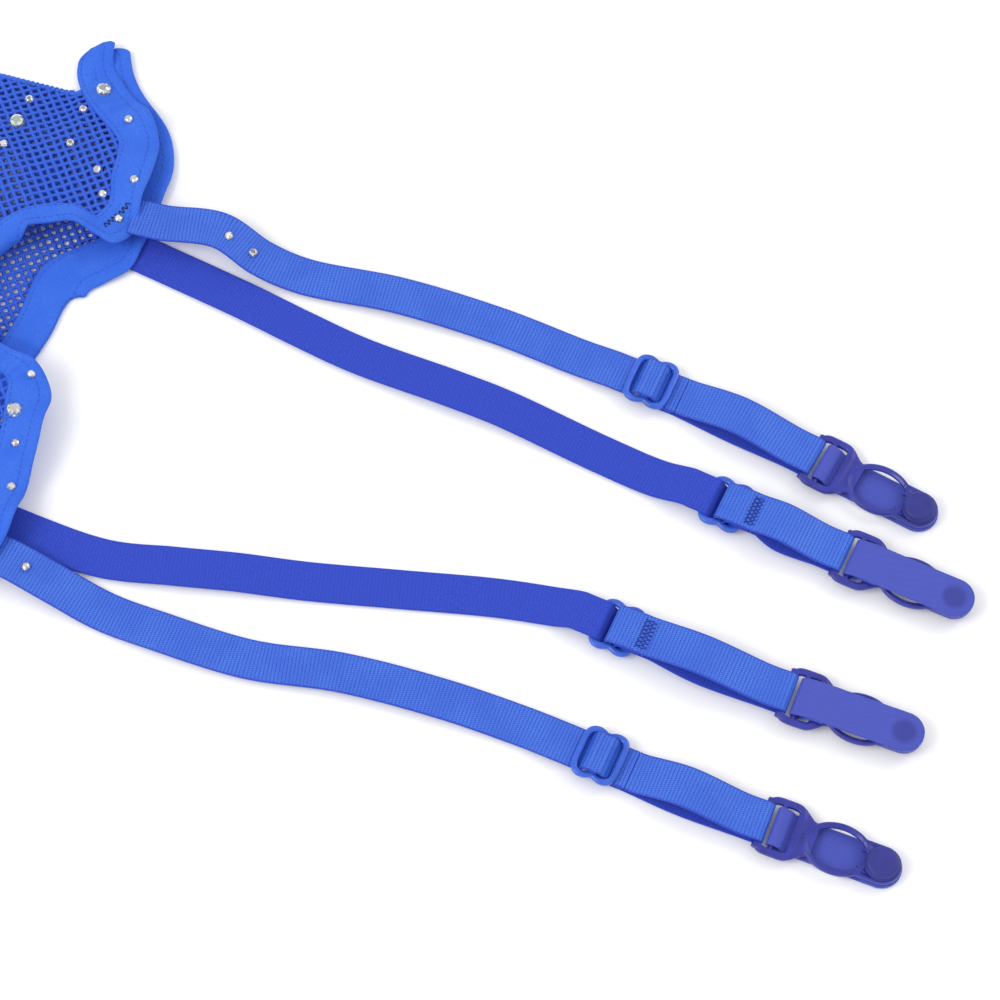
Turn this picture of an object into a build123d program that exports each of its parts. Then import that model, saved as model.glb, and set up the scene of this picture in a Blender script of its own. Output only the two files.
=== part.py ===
from build123d import *
import math
import os

# Rhinestone fishnet body garment with four adjustable suspender straps, lying on its back.
# +Y points from the hem to the neckline, +X to the wearer's left, +Z up. The origin is the
# centre-back waist, on the surface that the garment lies on. All lengths are millimetres.

# ---- garment ----
hem_y = -150.0          # level of the strap roots
top_y = 205.0           # top edge at the shoulder straps
net_thick = 1.0         # knotted net
band_thick = 1.6        # doubled jersey band
hem_band_width = 13.5
binding_width = 8.0
seam_width = 2.5        # overlocked side seam
seam_z = 2.0            # lower edge of the front layer at the side seams
arch_depth = 45.0       # how far the front hem is cut up between the straps
# level along Y, half width, rise of the front layer above the side seams
torso_stations = [
    (hem_y - 12, 124.0, 9.0),
    (hem_y + 44, 120.0, 12.0),
    (hem_y + 54, 104.0, 14.0),
    (hem_y + 80, 101.0, 16.0),
    (0.0, 92.0, 18.0),
    (120.0, 104.0, 20.0),
    (top_y + 3, 98.0, 16.0),
]
shoulder_x = 62.0
shoulder_reach = 62.0   # how far the folded shoulder straps stand past the top edge
shoulder_tape_width = 12.0

# ---- suspender tape ----
tape_width = 15.0
tape_thick = 0.9
layer_gap = 0.15        # free space between layers of tape and what they pass
floor_gap = 0.15
hinge_gap = 0.5         # between a strap and the band or root that it bends from

# ---- slider ----
slider_length = 17.2
slider_wire = 2.4
slider_side_gap = 0.1   # each side of the tape
slider_width = tape_width + 2 * (slider_wire + slider_side_gap)
slider_waist = 1.2      # depth of the round notch halfway along each side
notch_r = 2.6
slider_corner = 5.0
centre_bar = 1.8
slider_thick = 2.2
slider_edge = 0.5       # rounding of the moulded edges

# ---- clip ----
clip_bar = 2.4          # bar that hangs in the strap's loop
clip_thick = 2.4
clip_side = 2.35        # side walls of the window
clip_corner = 3.4
body_length = 15.0      # ears to shoulders
window_end = 12.4       # far edge of the window that both bars cross
window_width = tape_width + 1.6
clip_width = window_width + 2 * clip_side
ribbon_bar_s = 6.6
ribbon_bar = 2.0
neck_width = 11.0
keyhole_s = 28.0        # centre of the wide opening
keyhole_length = 20.6
keyhole_width = 14.6
rim = 2.0
lock_s = 43.9           # where the button locks
stem = 4.0
slot_width = stem + 0.8
nose_width = 13.6
tongue_width = tape_width - 0.5
pad_end = 51.0
pad_floor = 0.1         # free space under the button's pad and the ribbon
flange = 12.4
flange_thick = 0.8
cap = 11.4
cap_thick = 2.0
cap_edge = 1.0

# ---- rhinestones ----
small_stone = 3.4
large_stone = 6.0
stone_gap = 0.1         # glue under a stone
stone_seat = 0.6        # the same on tape, which slopes under the stone

# One suspender: which way its tape faces, where it bends from, the route of its tape down to
# the slider as (x, y past the hem, height), and where its slider and its clip sit, each as
# (x, y past the hem, heading in degrees off -Y towards +X).
straps = {
    "front_left": dict(
        flipped=False, root=(63.0, 10.0, 8.2), bend=(64.5, -1.0, 8.2),
        route=[(69.5, -22.0, 8.6), (66.8, -40.0, 4.4), (67.3, -56.0, 1.6), (73.0, -92.0, 2.6),
               (76.0, -130.0, 1.4), (75.4, -162.0, 1.4)],
        slider=(74.8, -190.0, -1.0), middle=(73.4, -224.0), clip=(69.6, -252.5, -6.5)),
    "back_left": dict(
        flipped=True, root=(54.0, 12.0, 2.5), bend=(50.0, -40.0, 1.0),
        route=[(47.4, -64.0, 1.2), (45.4, -88.0, 1.4), (45.4, -124.0, 2.8),
               (45.4, -144.0, 2.4), (42.6, -184.0, 0.8), (41.2, -206.0, 1.6)],
        slider=(40.4, -232.5, -2.5), middle=(39.0, -254.0), clip=(37.9, -275.5, -2.5)),
    "back_right": dict(
        flipped=True, root=(-64.0, 12.0, 2.5), bend=(-63.2, -36.0, 1.0),
        route=[(-56.8, -61.0, 2.4), (-50.4, -82.0, 2.2), (-43.6, -106.0, 1.0),
               (-33.6, -138.0, 0.8), (-23.4, -171.0, 0.8), (-18.8, -192.0, 1.8)],
        slider=(-18.6, -214.5, -1.0), middle=(-19.0, -246.0), clip=(-19.2, -276.5, 1.5)),
    "front_right": dict(
        flipped=False, root=(-78.0, 6.0, 6.5), bend=(-77.8, -6.5, 6.2),
        route=[(-79.4, -24.0, 4.0), (-81.4, -46.0, 1.0), (-81.2, -66.0, 1.8),
               (-78.6, -100.0, 1.6), (-71.0, -132.0, 2.4), (-66.4, -168.0, 2.2),
               (-64.8, -198.0, 1.4)],
        slider=(-65.6, -227.0, -1.0), middle=(-65.6, -258.0), clip=(-66.4, -286.0, 1.5)),
}

# Hem outlines from the wearer's left side seam to the right one, as (x, y past the hem).
front_hem = [
    (132, 50), (121, 46), (112, 35), (104, 22), (96, 15.5), (86, 12), (72, 10), (58, 9), (49, 11),
    (52, 27), (47, 39), (31, arch_depth + 3), (12, arch_depth + 7), (-3, arch_depth - 2), (-7, 28),
    (-7, 16), (-13, 7), (-30, 2), (-55, -2.5), (-70, -4), (-86, -1), (-98, 5), (-106, 14),
    (-113, 28), (-121, 42), (-132, 48),
]
back_hem = [
    (132, 45), (121, 38), (112, 28), (104, 16), (97, 10.5), (88, 6.5), (76, 5), (56, 4.5), (44, 5),
    (36, 8), (36.5, 17), (28, 21.5), (10, 19), (-16, 21), (-38, 19), (-44, 9), (-52, 3), (-75, 1),
    (-90, 3), (-100, 9), (-107, 20), (-115, 32), (-121, 40), (-132, 46),
]
# Top outlines from the left underarm over the shoulder strap to the centre front or back.
front_top = [(116, 128), (97, 134), (82, 158), (73, top_y), (51, top_y), (34, 176), (0, 164)]
back_top = [(116, 128), (97, 134), (84, 160), (74, top_y), (50, top_y), (32, 188), (0, 180)]

# Stones near the hem are placed one by one; the rest of the front carries a regular scatter.
small_near_hem = [(94.9, 68.0), (70.4, 65.8), (81.5, 44.1), (74.9, 30.0), (66.3, 23.6), (99.2, 28.7),
                  (75.5, 15.0), (59.5, 14.0), (98.0, 47.0), (-12.5, 14.0), (-20.0, 26.0),
                  (-38.2, 8.1), (-53.8, 2.4), (-84.0, 12.0), (-100.0, 34.0), (-62.0, 26.0)]
large_near_hem = [(82.9, 66.8), (109.0, 44.0), (-27.0, 14.0), (-78.0, 40.0)]
stones_on_front_straps = {"front_left": [(68.8, -26.0), (67.0, -36.5)],
                          "front_right": [(-78.2, -14.5)]}
scatter_pitch = 34.0

# Heights in a suspender's stack of layers, when its face side is up.
return_z = floor_gap + tape_thick / 2
tail_z = return_z + tape_thick + layer_gap
web_z = tail_z + tape_thick + layer_gap
slider_z = web_z + tape_thick / 2 + layer_gap + slider_thick / 2
wrap_r = centre_bar / 2 + layer_gap + tape_thick / 2
over_z = slider_z + wrap_r + tape_thick + layer_gap
slider_stack = over_z + tape_thick / 2 + floor_gap
slider_reach = slider_length / 2 + 3.5      # where the tape is cut either side of the slider
strip_z = pad_floor + tape_thick / 2
frame_z = strip_z + 1.5 * tape_thick + 2 * layer_gap + clip_thick / 2
loop_r = clip_bar / 2 + layer_gap + tape_thick / 2
bar_s = clip_bar / 2
fold_reach = 6.0                            # length of tape that stays with the clip's bar
flange_z = frame_z + clip_thick / 2 + layer_gap
clip_stack = flange_z + flange_thick + cap_thick
pad_start = lock_s - flange / 2 + 0.6


def at(place, height=0.0):
    """Location of a frame whose X runs along the strap, from (x, y past the hem, heading)."""
    x, y, heading = place
    return Location((x, hem_y + y, height), (0, 0, heading - 90))


def along(place, s):
    """Point s along a hardware frame, in plan."""
    x, y, heading = place
    turn = math.radians(heading)
    return (x + s * math.sin(turn), y - s * math.cos(turn))


def place(solid, where, flipped, stack):
    """Turns a face-up assembly over when its strap lies face down, then puts it in place."""
    if flipped:
        solid = mirror(solid, about=Plane.XY).moved(Location((0, 0, stack)))
    return solid.moved(at(where))


def bent_tape(points, radius, width=tape_width, thick=tape_thick):
    """Tape of one thickness that follows a bent line in the XZ plane, width across Y."""
    pts = [(x, 0, z) for x, z in points]
    line = FilletPolyline(*pts, radius=radius)
    start = Plane(origin=line @ 0, x_dir=(0, 1, 0), z_dir=line % 0)
    return sweep(start * Rectangle(width, thick), path=line, transition=Transition.RIGHT)


def ribbon(stations, width=tape_width, thick=tape_thick):
    """Tape through stations (x, y past the hem, height, heading), upright sections, ruled."""
    sections = []
    for x, y, z, heading in stations:
        turn = math.radians(heading)
        across = Plane(origin=(x, hem_y + y, z), x_dir=(math.cos(turn), math.sin(turn), 0),
                       z_dir=(math.sin(turn), -math.cos(turn), 0))
        sections.append(across * Rectangle(width, thick))
    return loft(sections, ruled=True)


def headed(points, first=None, last=None):
    """Adds to each (x, y, z) the heading of the route there; end headings may be given."""
    out = []
    for n, (x, y, z) in enumerate(points):
        a, b = points[max(n - 1, 0)], points[min(n + 1, len(points) - 1)]
        heading = math.degrees(math.atan2(b[0] - a[0], a[1] - b[1]))
        out.append((x, y, z, heading))
    if first is not None:
        out[0] = (*out[0][:3], first)
    if last is not None:
        out[-1] = (*out[-1][:3], last)
    return out


def save(solid, name):
    solid.label = name
    export_step(solid, f"parts/{name}.step")


# ---------------- hardware shapes, face up, X along the strap ----------------

def slider_solid():
    """Three-bar adjuster: a waisted ring with a round centre bar that the tape wraps."""
    outer = RectangleRounded(slider_length, slider_width, slider_corner)
    notch = Pos(0, slider_width / 2 + notch_r - slider_waist) * Circle(notch_r)
    outer -= notch + mirror(notch, about=Plane.XZ)
    outer = fillet([v for v in outer.vertices() if abs(v.X) < notch_r], 2.0)
    inner = RectangleRounded(slider_length - 2 * slider_wire, slider_width - 2 * slider_wire, 2.4)
    ring = extrude(outer - inner, slider_thick / 2, both=True)
    ring = fillet(ring.edges().filter_by(Plane.XY), slider_edge)
    bar_length = slider_width - 1.6 * slider_wire
    bar = Rot(90, 0, 0) * Cylinder(centre_bar / 2, bar_length)
    return (ring + bar).moved(Location((0, 0, slider_z)))


def web_through_slider():
    """The long run of tape: under both side bars and over the wrapped centre bar."""
    reach, crest = slider_reach, wrap_r + tape_thick / 2 + layer_gap
    foot = crest + 1.9
    points = [(-reach, web_z), (-foot, web_z), (-crest, over_z), (crest, over_z),
              (foot, web_z), (reach, web_z)]
    return bent_tape(points, 0.7)


def end_round_slider():
    """The tape's sewn end: along the bottom, round the centre bar and back as the tail."""
    r = wrap_r
    points = [(slider_reach, return_z), (-r, return_z), (-r, slider_z + r), (r, slider_z + r),
              (r + 0.1, tail_z), (slider_reach - 1.0, tail_z)]
    return bent_tape(points, 0.75)


def fold_round_bar():
    """The last of the loop, folded round the clip's bar."""
    end = bar_s + loop_r
    points = [(-fold_reach, frame_z + loop_r), (end, frame_z + loop_r),
              (end, frame_z - loop_r), (-fold_reach, frame_z - loop_r)]
    return bent_tape(points, loop_r * 0.97)


def clip_solid():
    """Keyhole frame: ears and window, shoulder plate, neck, wide ring and slotted nose."""
    half = clip_width / 2
    body = Pos(body_length / 2, 0) * RectangleRounded(body_length, clip_width, clip_corner)
    shoulder = make_face(Polyline((body_length - 4, -half + 0.6), (body_length - 1, -half + 0.6),
                                  (body_length + 3.4, -neck_width / 2),
                                  (body_length + 3.4, neck_width / 2),
                                  (body_length - 1, half - 0.6), (body_length - 4, half - 0.6),
                                  close=True))
    ring = Pos(keyhole_s, 0) * Ellipse(keyhole_length / 2 + rim, keyhole_width / 2 + rim)
    nose = Pos(lock_s, 0) * Circle(nose_width / 2)
    nose += Pos((keyhole_s + lock_s) / 2 + 4.0, 0) * Rectangle(lock_s - keyhole_s - 8.0, nose_width)
    plate = body + shoulder + ring + nose
    window = Pos(window_end / 2, 0) * RectangleRounded(window_end, window_width, 2.0)
    plate -= window + Pos(bar_s / 2, 0) * Rectangle(clip_bar, window_width)
    plate -= Pos(keyhole_s, 0) * Ellipse(keyhole_length / 2, keyhole_width / 2)
    slot = Pos((keyhole_s + lock_s) / 2, 0) * Rectangle(lock_s - keyhole_s, slot_width)
    plate -= slot + Pos(lock_s, 0) * Circle(slot_width / 2)
    frame = extrude(plate, clip_thick / 2, both=True)
    for s, bar in ((bar_s, clip_bar), (ribbon_bar_s, ribbon_bar)):
        frame += Pos(s, 0, 0) * Rot(90, 0, 0) * Cylinder(bar / 2, window_width + 2)
    return frame.moved(Location((0, 0, frame_z)))


def tongue_solid():
    """Ribbon tongue: wraps the inner bar and runs under the frame to the button's pad."""
    wrap = ribbon_bar / 2 + layer_gap + tape_thick / 2
    front = ribbon_bar_s - wrap
    tail = strip_z + tape_thick + layer_gap
    points = [(window_end + 4.5, tail), (ribbon_bar_s + wrap + 1.2, tail),
              (ribbon_bar_s + 1.0, frame_z + wrap), (front, frame_z + wrap),
              (front, strip_z), (pad_start - layer_gap, strip_z)]
    return bent_tape(points, 0.9, width=tongue_width)


def button_solid():
    """Moulded button: pad under the frame, stem in the slot, flange and cap above it."""
    pad_thick = frame_z - clip_thick / 2 - layer_gap - pad_floor
    round_r = tongue_width / 2
    pad = Pos(pad_end - round_r, 0) * Circle(round_r)
    pad += Pos((pad_start + pad_end - round_r) / 2, 0) * Rectangle(pad_end - round_r - pad_start,
                                                                   tongue_width)
    pad &= Pos((pad_start + pad_end) / 2, 0) * Rectangle(pad_end - pad_start, tongue_width)
    pad = extrude(pad, pad_thick).moved(Location((0, 0, pad_floor)))
    foot = pad_floor + pad_thick / 2
    post = Pos(lock_s, 0, foot) * extrude(Circle(stem / 2), flange_z + flange_thick / 2 - foot)
    low = Pos(lock_s, 0, flange_z) * extrude(Circle(flange / 2), flange_thick)
    head = extrude(Circle(cap / 2), cap_thick)
    head = fillet(head.edges().group_by(Axis.Z)[-1], cap_edge)
    return pad + post + low + Pos(lock_s, 0, flange_z + flange_thick) * head


def tape_height(s, y):
    """Height of a suspender's tape, midway through it, at a distance past the hem."""
    run = [s["bend"], *s["route"]]
    for (_, y0, z0), (_, y1, z1) in zip(run, run[1:]):
        if y1 <= y <= y0:
            return z0 + (y - y0) / (y1 - y0) * (z1 - z0)
    return run[-1][2]


def build_strap(name, s):
    """One suspender: tape, slider, loop, loop fold, clip frame, tongue and button."""
    up = s["flipped"]
    slider, clip = s["slider"], s["clip"]

    def level(z, stack):
        return stack - z if up else z

    web = place(web_through_slider(), slider, up, slider_stack)
    entry = (*along(slider, -slider_reach), level(web_z, slider_stack))
    before = (*along(slider, -slider_reach - 3.0), level(web_z, slider_stack))
    run = [s["bend"], *s["route"], before, entry]
    run[0] = (run[0][0], run[0][1] - hinge_gap, run[0][2])
    web += ribbon(headed(run, first=0.0, last=slider[2]))
    save(web, f"{name}_strap_tape")

    save(place(slider_solid(), slider, up, slider_stack), f"{name}_slider")

    loop = place(end_round_slider(), slider, up, slider_stack)
    layers = []
    for z_slider, z_clip in ((web_z, frame_z + loop_r), (return_z, frame_z - loop_r)):
        z0, z1 = level(z_slider, slider_stack), level(z_clip, clip_stack)
        start = (*along(slider, slider_reach), z0)
        end = (*along(clip, -fold_reach), z1)
        layers.append(ribbon(headed([start, (*s["middle"], (z0 + z1) / 2), end],
                                    first=slider[2], last=clip[2])))
    save(Compound(children=[layers[0], loop + layers[1]]), f"{name}_loop")
    save(place(fold_round_bar(), clip, up, clip_stack), f"{name}_loop_fold")

    save(place(clip_solid(), clip, up, clip_stack), f"{name}_clip_frame")
    save(place(tongue_solid(), clip, up, clip_stack), f"{name}_tongue")
    save(place(button_solid(), clip, up, clip_stack), f"{name}_button")


# ---------------- garment ----------------

def arched_layer(thick):
    """Front layer as one arched sheet, a ruled loft of thin bow sections along the torso."""
    sections = []
    for y, half, rise in torso_stations:
        low = ThreePointArc((-half, y, seam_z), (0, y, seam_z + rise), (half, y, seam_z))
        high = ThreePointArc((half, y, seam_z + thick), (0, y, seam_z + thick + rise),
                             (-half, y, seam_z + thick))
        sections.append(make_face([low, Line(low @ 1, high @ 0), high, Line(high @ 1, low @ 0)]))
    return loft(sections, ruled=True)


def layer_height(x, y):
    """Height of the underside of the front layer at a point."""
    for (y0, h0, r0), (y1, h1, r1) in zip(torso_stations, torso_stations[1:]):
        if y0 <= y <= y1:
            t = (y - y0) / (y1 - y0)
            half, rise = h0 + t * (h1 - h0), r0 + t * (r1 - r0)
            radius = (half ** 2 + rise ** 2) / (2 * rise)
            return seam_z + math.sqrt(max(radius ** 2 - x ** 2, 0)) - (radius - rise)
    return seam_z


def cut_region(outline, far_y, inset, corner):
    """Region from an outline to a far line along X. An inset widens the outline to a thick stroke,
    round at its corners, and adds that to the region."""
    ends = (outline[0][0], outline[-1][0])
    edge = FilletPolyline(*outline, radius=corner)
    far = Polyline(outline[-1], (ends[1], far_y), (ends[0], far_y), outline[0])
    region = make_face([*edge.edges(), *far.edges()])
    if not inset:
        return region
    strokes = [Pos(*outline[0]) * Circle(inset)]
    for a, b in zip(outline, outline[1:]):
        length, turn = math.dist(a, b), math.degrees(math.atan2(b[1] - a[1], b[0] - a[0]))
        middle = Location(((a[0] + b[0]) / 2, (a[1] + b[1]) / 2, 0), (0, 0, turn))
        strokes += [middle * Rectangle(length, 2 * inset), Pos(*b) * Circle(inset)]
    return Sketch() + [region, *strokes]


def below_hem(points, inset=0.0):
    """Region cut away below a hem outline, grown by an inset."""
    return cut_region([(x, hem_y + y) for x, y in points], hem_y - 60, inset, 2.5)


def above_top(points, inset=0.0):
    """Region cut away above the top outline, mirrored about the centre and grown by an inset."""
    outline = points + [(-x, y) for x, y in points[-2::-1]]
    return cut_region(outline, top_y + 60, inset, 4.0)


def tall(region):
    return extrude(region, 60).moved(Location((0, 0, -10)))


def flat_layer(thick):
    """Back layer: the torso's outline as a flat slab, its sides straight between stations."""
    right = [(half, y) for y, half, _ in torso_stations]
    left = [(-x, y) for x, y in reversed(right)]
    return extrude(make_face(Polyline(*right, *left, close=True)), thick)


def cut_layer(net, band, hem, top, side):
    """Splits a layer into its net, hem band and top binding."""
    low, low_in = tall(below_hem(hem)), tall(below_hem(hem, hem_band_width))
    high, high_in = tall(above_top(top)), tall(above_top(top, binding_width))
    save(net - low_in - high_in, f"{side}_net_panel")
    save((band & low_in) - low, f"{side}_hem_band")
    save((band & high_in) - high, f"{side}_neckline_binding")


def side_seam(sign):
    """Overlocked seam that joins both layers along one side, between hem and underarm."""
    sections = []
    for y, half, _ in torso_stations[1:-1]:
        y = max(y, hem_y + 48)
        middle = Plane(origin=(sign * (half + seam_width / 2), y, (seam_z + net_thick) / 2),
                       x_dir=(1, 0, 0), z_dir=(0, 1, 0))
        sections.append(middle * Rectangle(seam_width, seam_z + net_thick))
    return loft(sections, ruled=True)


def shoulder_strap(sign):
    """Shoulder tape from the front's top edge, over and down to the back's."""
    front_z = layer_height(shoulder_x, top_y) + net_thick / 2 + 0.8
    reach = top_y + shoulder_reach
    points = [(top_y + 0.5, front_z), (top_y + 26, front_z + 1.0), (reach, 6.5), (reach, 0.6),
              (top_y + 0.5, 0.6)]
    tape = bent_tape(points, 2.4, width=shoulder_tape_width)
    return tape.moved(Location((sign * shoulder_x, 0, 0), (0, 0, 90)))


def stone(diameter, x, y, base):
    """One faceted stone, as a stepped cone with a flat table on top."""
    on_base = (Align.CENTER, Align.CENTER, Align.MIN)
    return Cone(diameter / 2, diameter * 0.28, diameter * 0.4, align=on_base).moved(Location((x, y, base)))


def stones_on_front(diameter, near, pitch, shift):
    """Stones by the hem plus a staggered scatter over the rest of the front."""
    spots = [(x, hem_y + y) for x, y in near]
    for row in range(12):
        y = hem_y + 92 + row * pitch * 0.55 + shift
        x0 = -2.5 * pitch + (row % 2) * pitch / 2 + shift
        spots += [(x0 + n * pitch, y) for n in range(6)]
    solids = []
    for x, y in spots:
        if abs(x) < 84 and y < 150 or y < hem_y + 80:
            r = diameter / 2
            high = max(layer_height(x - r, y), layer_height(x + r, y), layer_height(x, y))
            solids.append(stone(diameter, x, y, high + band_thick + stone_gap))
    return Compound(children=solids)


os.makedirs("parts", exist_ok=True)

cut_layer(arched_layer(net_thick), arched_layer(band_thick), front_hem, front_top, "front")
cut_layer(flat_layer(net_thick), flat_layer(band_thick), back_hem, back_top, "back")
for seam_side, seam_sign in (("left", 1), ("right", -1)):
    save(side_seam(seam_sign), f"{seam_side}_side_seam")
    save(shoulder_strap(seam_sign), f"{seam_side}_shoulder_strap")
save(stones_on_front(small_stone, small_near_hem, scatter_pitch, 0.0), "small_rhinestones")
save(stones_on_front(large_stone, large_near_hem, 2 * scatter_pitch, 9.0), "large_rhinestones")

roots = []
for strap_name, strap in straps.items():
    build_strap(strap_name, strap)
    root, bend = strap["root"], strap["bend"]
    roots.append(ribbon(headed([root, bend], first=0.0, last=0.0)))
    if strap_name in stones_on_front_straps:
        gems = []
        for x, y in stones_on_front_straps[strap_name]:
            base = tape_height(strap, y) + tape_thick / 2 + stone_seat
            gems.append(stone(small_stone, x, hem_y + y, base))
        save(Compound(children=gems), f"{strap_name}_strap_rhinestones")
save(Compound(children=roots), "strap_roots")
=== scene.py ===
import math

import bpy
import numpy as np
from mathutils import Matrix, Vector


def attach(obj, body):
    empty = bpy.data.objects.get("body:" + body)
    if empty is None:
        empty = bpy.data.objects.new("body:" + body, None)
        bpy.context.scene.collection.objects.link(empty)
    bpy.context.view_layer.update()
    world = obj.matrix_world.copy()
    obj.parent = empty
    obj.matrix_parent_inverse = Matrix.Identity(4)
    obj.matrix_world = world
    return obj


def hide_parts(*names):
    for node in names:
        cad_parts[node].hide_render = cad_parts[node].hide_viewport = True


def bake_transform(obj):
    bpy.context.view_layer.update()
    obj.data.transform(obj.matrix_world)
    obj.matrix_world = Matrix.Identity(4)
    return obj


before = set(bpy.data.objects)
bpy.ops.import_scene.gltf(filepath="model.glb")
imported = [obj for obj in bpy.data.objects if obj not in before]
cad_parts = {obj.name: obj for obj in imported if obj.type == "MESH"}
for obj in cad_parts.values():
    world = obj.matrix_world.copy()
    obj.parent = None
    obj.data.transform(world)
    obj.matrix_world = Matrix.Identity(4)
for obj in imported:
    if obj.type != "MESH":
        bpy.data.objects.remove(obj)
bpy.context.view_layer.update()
rng = np.random.default_rng(11)

# ---- Table, light and camera ----
# The garment lies on a pale table under a large soft lamp, with even white light from all round.
# The camera looks down at it from the foot of the straps, a little to the wearer's right.
scene = bpy.context.scene
scene.view_settings.view_transform = "Standard"
world = bpy.data.worlds.new("studio")
scene.world = world
world.use_nodes = True
world.node_tree.nodes["Background"].inputs["Color"].default_value = (1.0, 1.0, 1.0, 1)
world.node_tree.nodes["Background"].inputs["Strength"].default_value = 0.92

bpy.ops.mesh.primitive_plane_add(size=8, location=(0, 0, -0.0003))
table = bpy.context.object
table.name = "table"
paper = bpy.data.materials.new("pale_table")
paper.use_nodes = True
paper.node_tree.nodes["Principled BSDF"].inputs["Base Color"].default_value = (0.94, 0.94, 0.95, 1)
paper.node_tree.nodes["Principled BSDF"].inputs["Roughness"].default_value = 0.9
table.data.materials.append(paper)


def soft_lamp(name, place, target, size, power):
    """Square area lamp at a place, turned to a target."""
    lamp = bpy.data.lights.new(name, "AREA")
    lamp.shape, lamp.size, lamp.energy = "SQUARE", size, power
    lamp_object = bpy.data.objects.new(name, lamp)
    scene.collection.objects.link(lamp_object)
    lamp_object.location = place
    lamp_object.rotation_euler = (Vector(target) - Vector(place)).to_track_quat("-Z", "Y").to_euler()


soft_lamp("key_lamp", (-0.9, 0.6, 1.5), (0.0, -0.2, 0.0), 0.9, 13)
soft_lamp("side_lamp", (0.9, -1.1, 1.0), (0.0, -0.3, 0.0), 0.6, 4)

view_heading, view_elevation, view_distance = math.radians(67.3), math.radians(65), 1.3
looking = Vector((math.sin(view_heading) * math.cos(view_elevation),
                  math.cos(view_heading) * math.cos(view_elevation), -math.sin(view_elevation)))
camera = bpy.data.objects.new("camera", bpy.data.cameras.new("camera"))
scene.collection.objects.link(camera)
camera.location = Vector((0.0124, -0.3071, 0.0)) - looking * view_distance
camera.rotation_euler = looking.to_track_quat("-Z", "Y").to_euler()
camera.data.sensor_width, camera.data.lens = 36, 131.5
scene.camera = camera

# ---- Suspender tape ----
# Elastic 15 mm wide and 0.9 mm thick, with satin ribs across its face and brushed plush behind.
# Each is sewn under the hem, runs down to its slider and over the slider's middle bar.
# Sizes from here on are in millimetres, and each piece is scaled to metres as it is made.
hem_y = -150.0
tape_width, tape_thick, rib_pitch, rib_height = 15.0, 0.9, 1.3, 0.14
strap_layouts = {
    "front_left": dict(
        flipped=False, root=(63.0, 10.0, 8.2), bend=(64.5, -1.0, 8.2),
        route=[(69.5, -22.0, 8.6), (66.8, -40.0, 4.4), (67.3, -56.0, 1.6), (73.0, -92.0, 2.6),
               (76.0, -130.0, 1.4), (75.4, -162.0, 1.4)],
        slider=(74.8, -190.0, -1.0), middle=(73.4, -224.0), clip=(69.6, -252.5, -6.5)),
    "back_left": dict(
        flipped=True, root=(54.0, 12.0, 0.5), bend=(50.0, -40.0, 1.0),
        route=[(47.4, -64.0, 1.2), (45.4, -88.0, 1.4), (45.4, -124.0, 2.8),
               (45.4, -144.0, 2.4), (42.6, -184.0, 0.8), (41.2, -206.0, 1.6)],
        slider=(40.4, -232.5, -2.5), middle=(39.0, -254.0), clip=(37.9, -275.5, -2.5)),
    "back_right": dict(
        flipped=True, root=(-64.0, 12.0, 0.5), bend=(-63.2, -36.0, 1.0),
        route=[(-56.8, -61.0, 2.4), (-50.4, -82.0, 2.2), (-43.6, -106.0, 1.0),
               (-33.6, -138.0, 0.8), (-23.4, -171.0, 0.8), (-18.8, -192.0, 1.8)],
        slider=(-18.6, -214.5, -1.0), middle=(-19.0, -246.0), clip=(-19.2, -276.5, 1.5)),
    "front_right": dict(
        flipped=False, root=(-78.0, 6.0, 6.5), bend=(-77.8, -6.5, 6.2),
        route=[(-79.4, -24.0, 4.0), (-81.4, -46.0, 1.0), (-81.2, -66.0, 1.8),
               (-78.6, -100.0, 1.6), (-71.0, -132.0, 2.4), (-66.4, -168.0, 2.2),
               (-64.8, -198.0, 1.4)],
        slider=(-65.6, -227.0, -1.0), middle=(-65.6, -258.0), clip=(-66.4, -286.0, 1.5)),
}
# Heights in a stack of layers whose face is up: the return under the slider, the tail, the long run
# and the moulding, then where the long run crosses over the wrapped bar.
return_z, tail_z, web_z, slider_z, over_z, slider_stack = 0.6, 1.65, 2.7, 4.4, 6.95, 7.55
slider_reach = 12.1


def linear(red, green, blue, light=0.74):
    """Colour of 0 to 255 screen values as linear light, scaled, with an alpha of 1."""
    c = np.array([red, green, blue]) / 255
    c = np.where(c <= 0.04045, c / 12.92, ((c + 0.055) / 1.055) ** 2.4) * light
    return (*c.tolist(), 1.0)


def smooth_line(points, step):
    """Cubic curve through the points, its slope at each taken from both neighbours and its
    parameter the root of the chord, cut into even steps. Returns the points and their lengths."""
    p = np.asarray(points, float)
    knots = np.r_[0, np.cumsum(np.sqrt(np.linalg.norm(np.diff(p[:, :3], axis=0), axis=1)))]
    slope = np.gradient(p, knots, axis=0)
    t = np.linspace(0, knots[-1], 60 * len(p))
    i = np.clip(np.searchsorted(knots, t, side="right") - 1, 0, len(p) - 2)
    h = (knots[i + 1] - knots[i])[:, None]
    u = (t - knots[i])[:, None] / h
    q = ((2 * u**3 - 3 * u**2 + 1) * p[i] + (u**3 - 2 * u**2 + u) * h * slope[i]
         + (3 * u**2 - 2 * u**3) * p[i + 1] + (u**3 - u**2) * h * slope[i + 1])
    run = np.r_[0, np.cumsum(np.linalg.norm(np.diff(q[:, :3], axis=0), axis=1))]
    s = np.linspace(0, run[-1], max(int(round(run[-1] / step)), 1) + 1)
    return np.stack([np.interp(s, run, column) for column in q.T], axis=1), s


def smooth_step(t):
    """0 below 0, 1 above 1, and 3 t squared less 2 t cubed between."""
    t = np.clip(t, 0, 1)
    return t * t * (3 - 2 * t)


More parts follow.
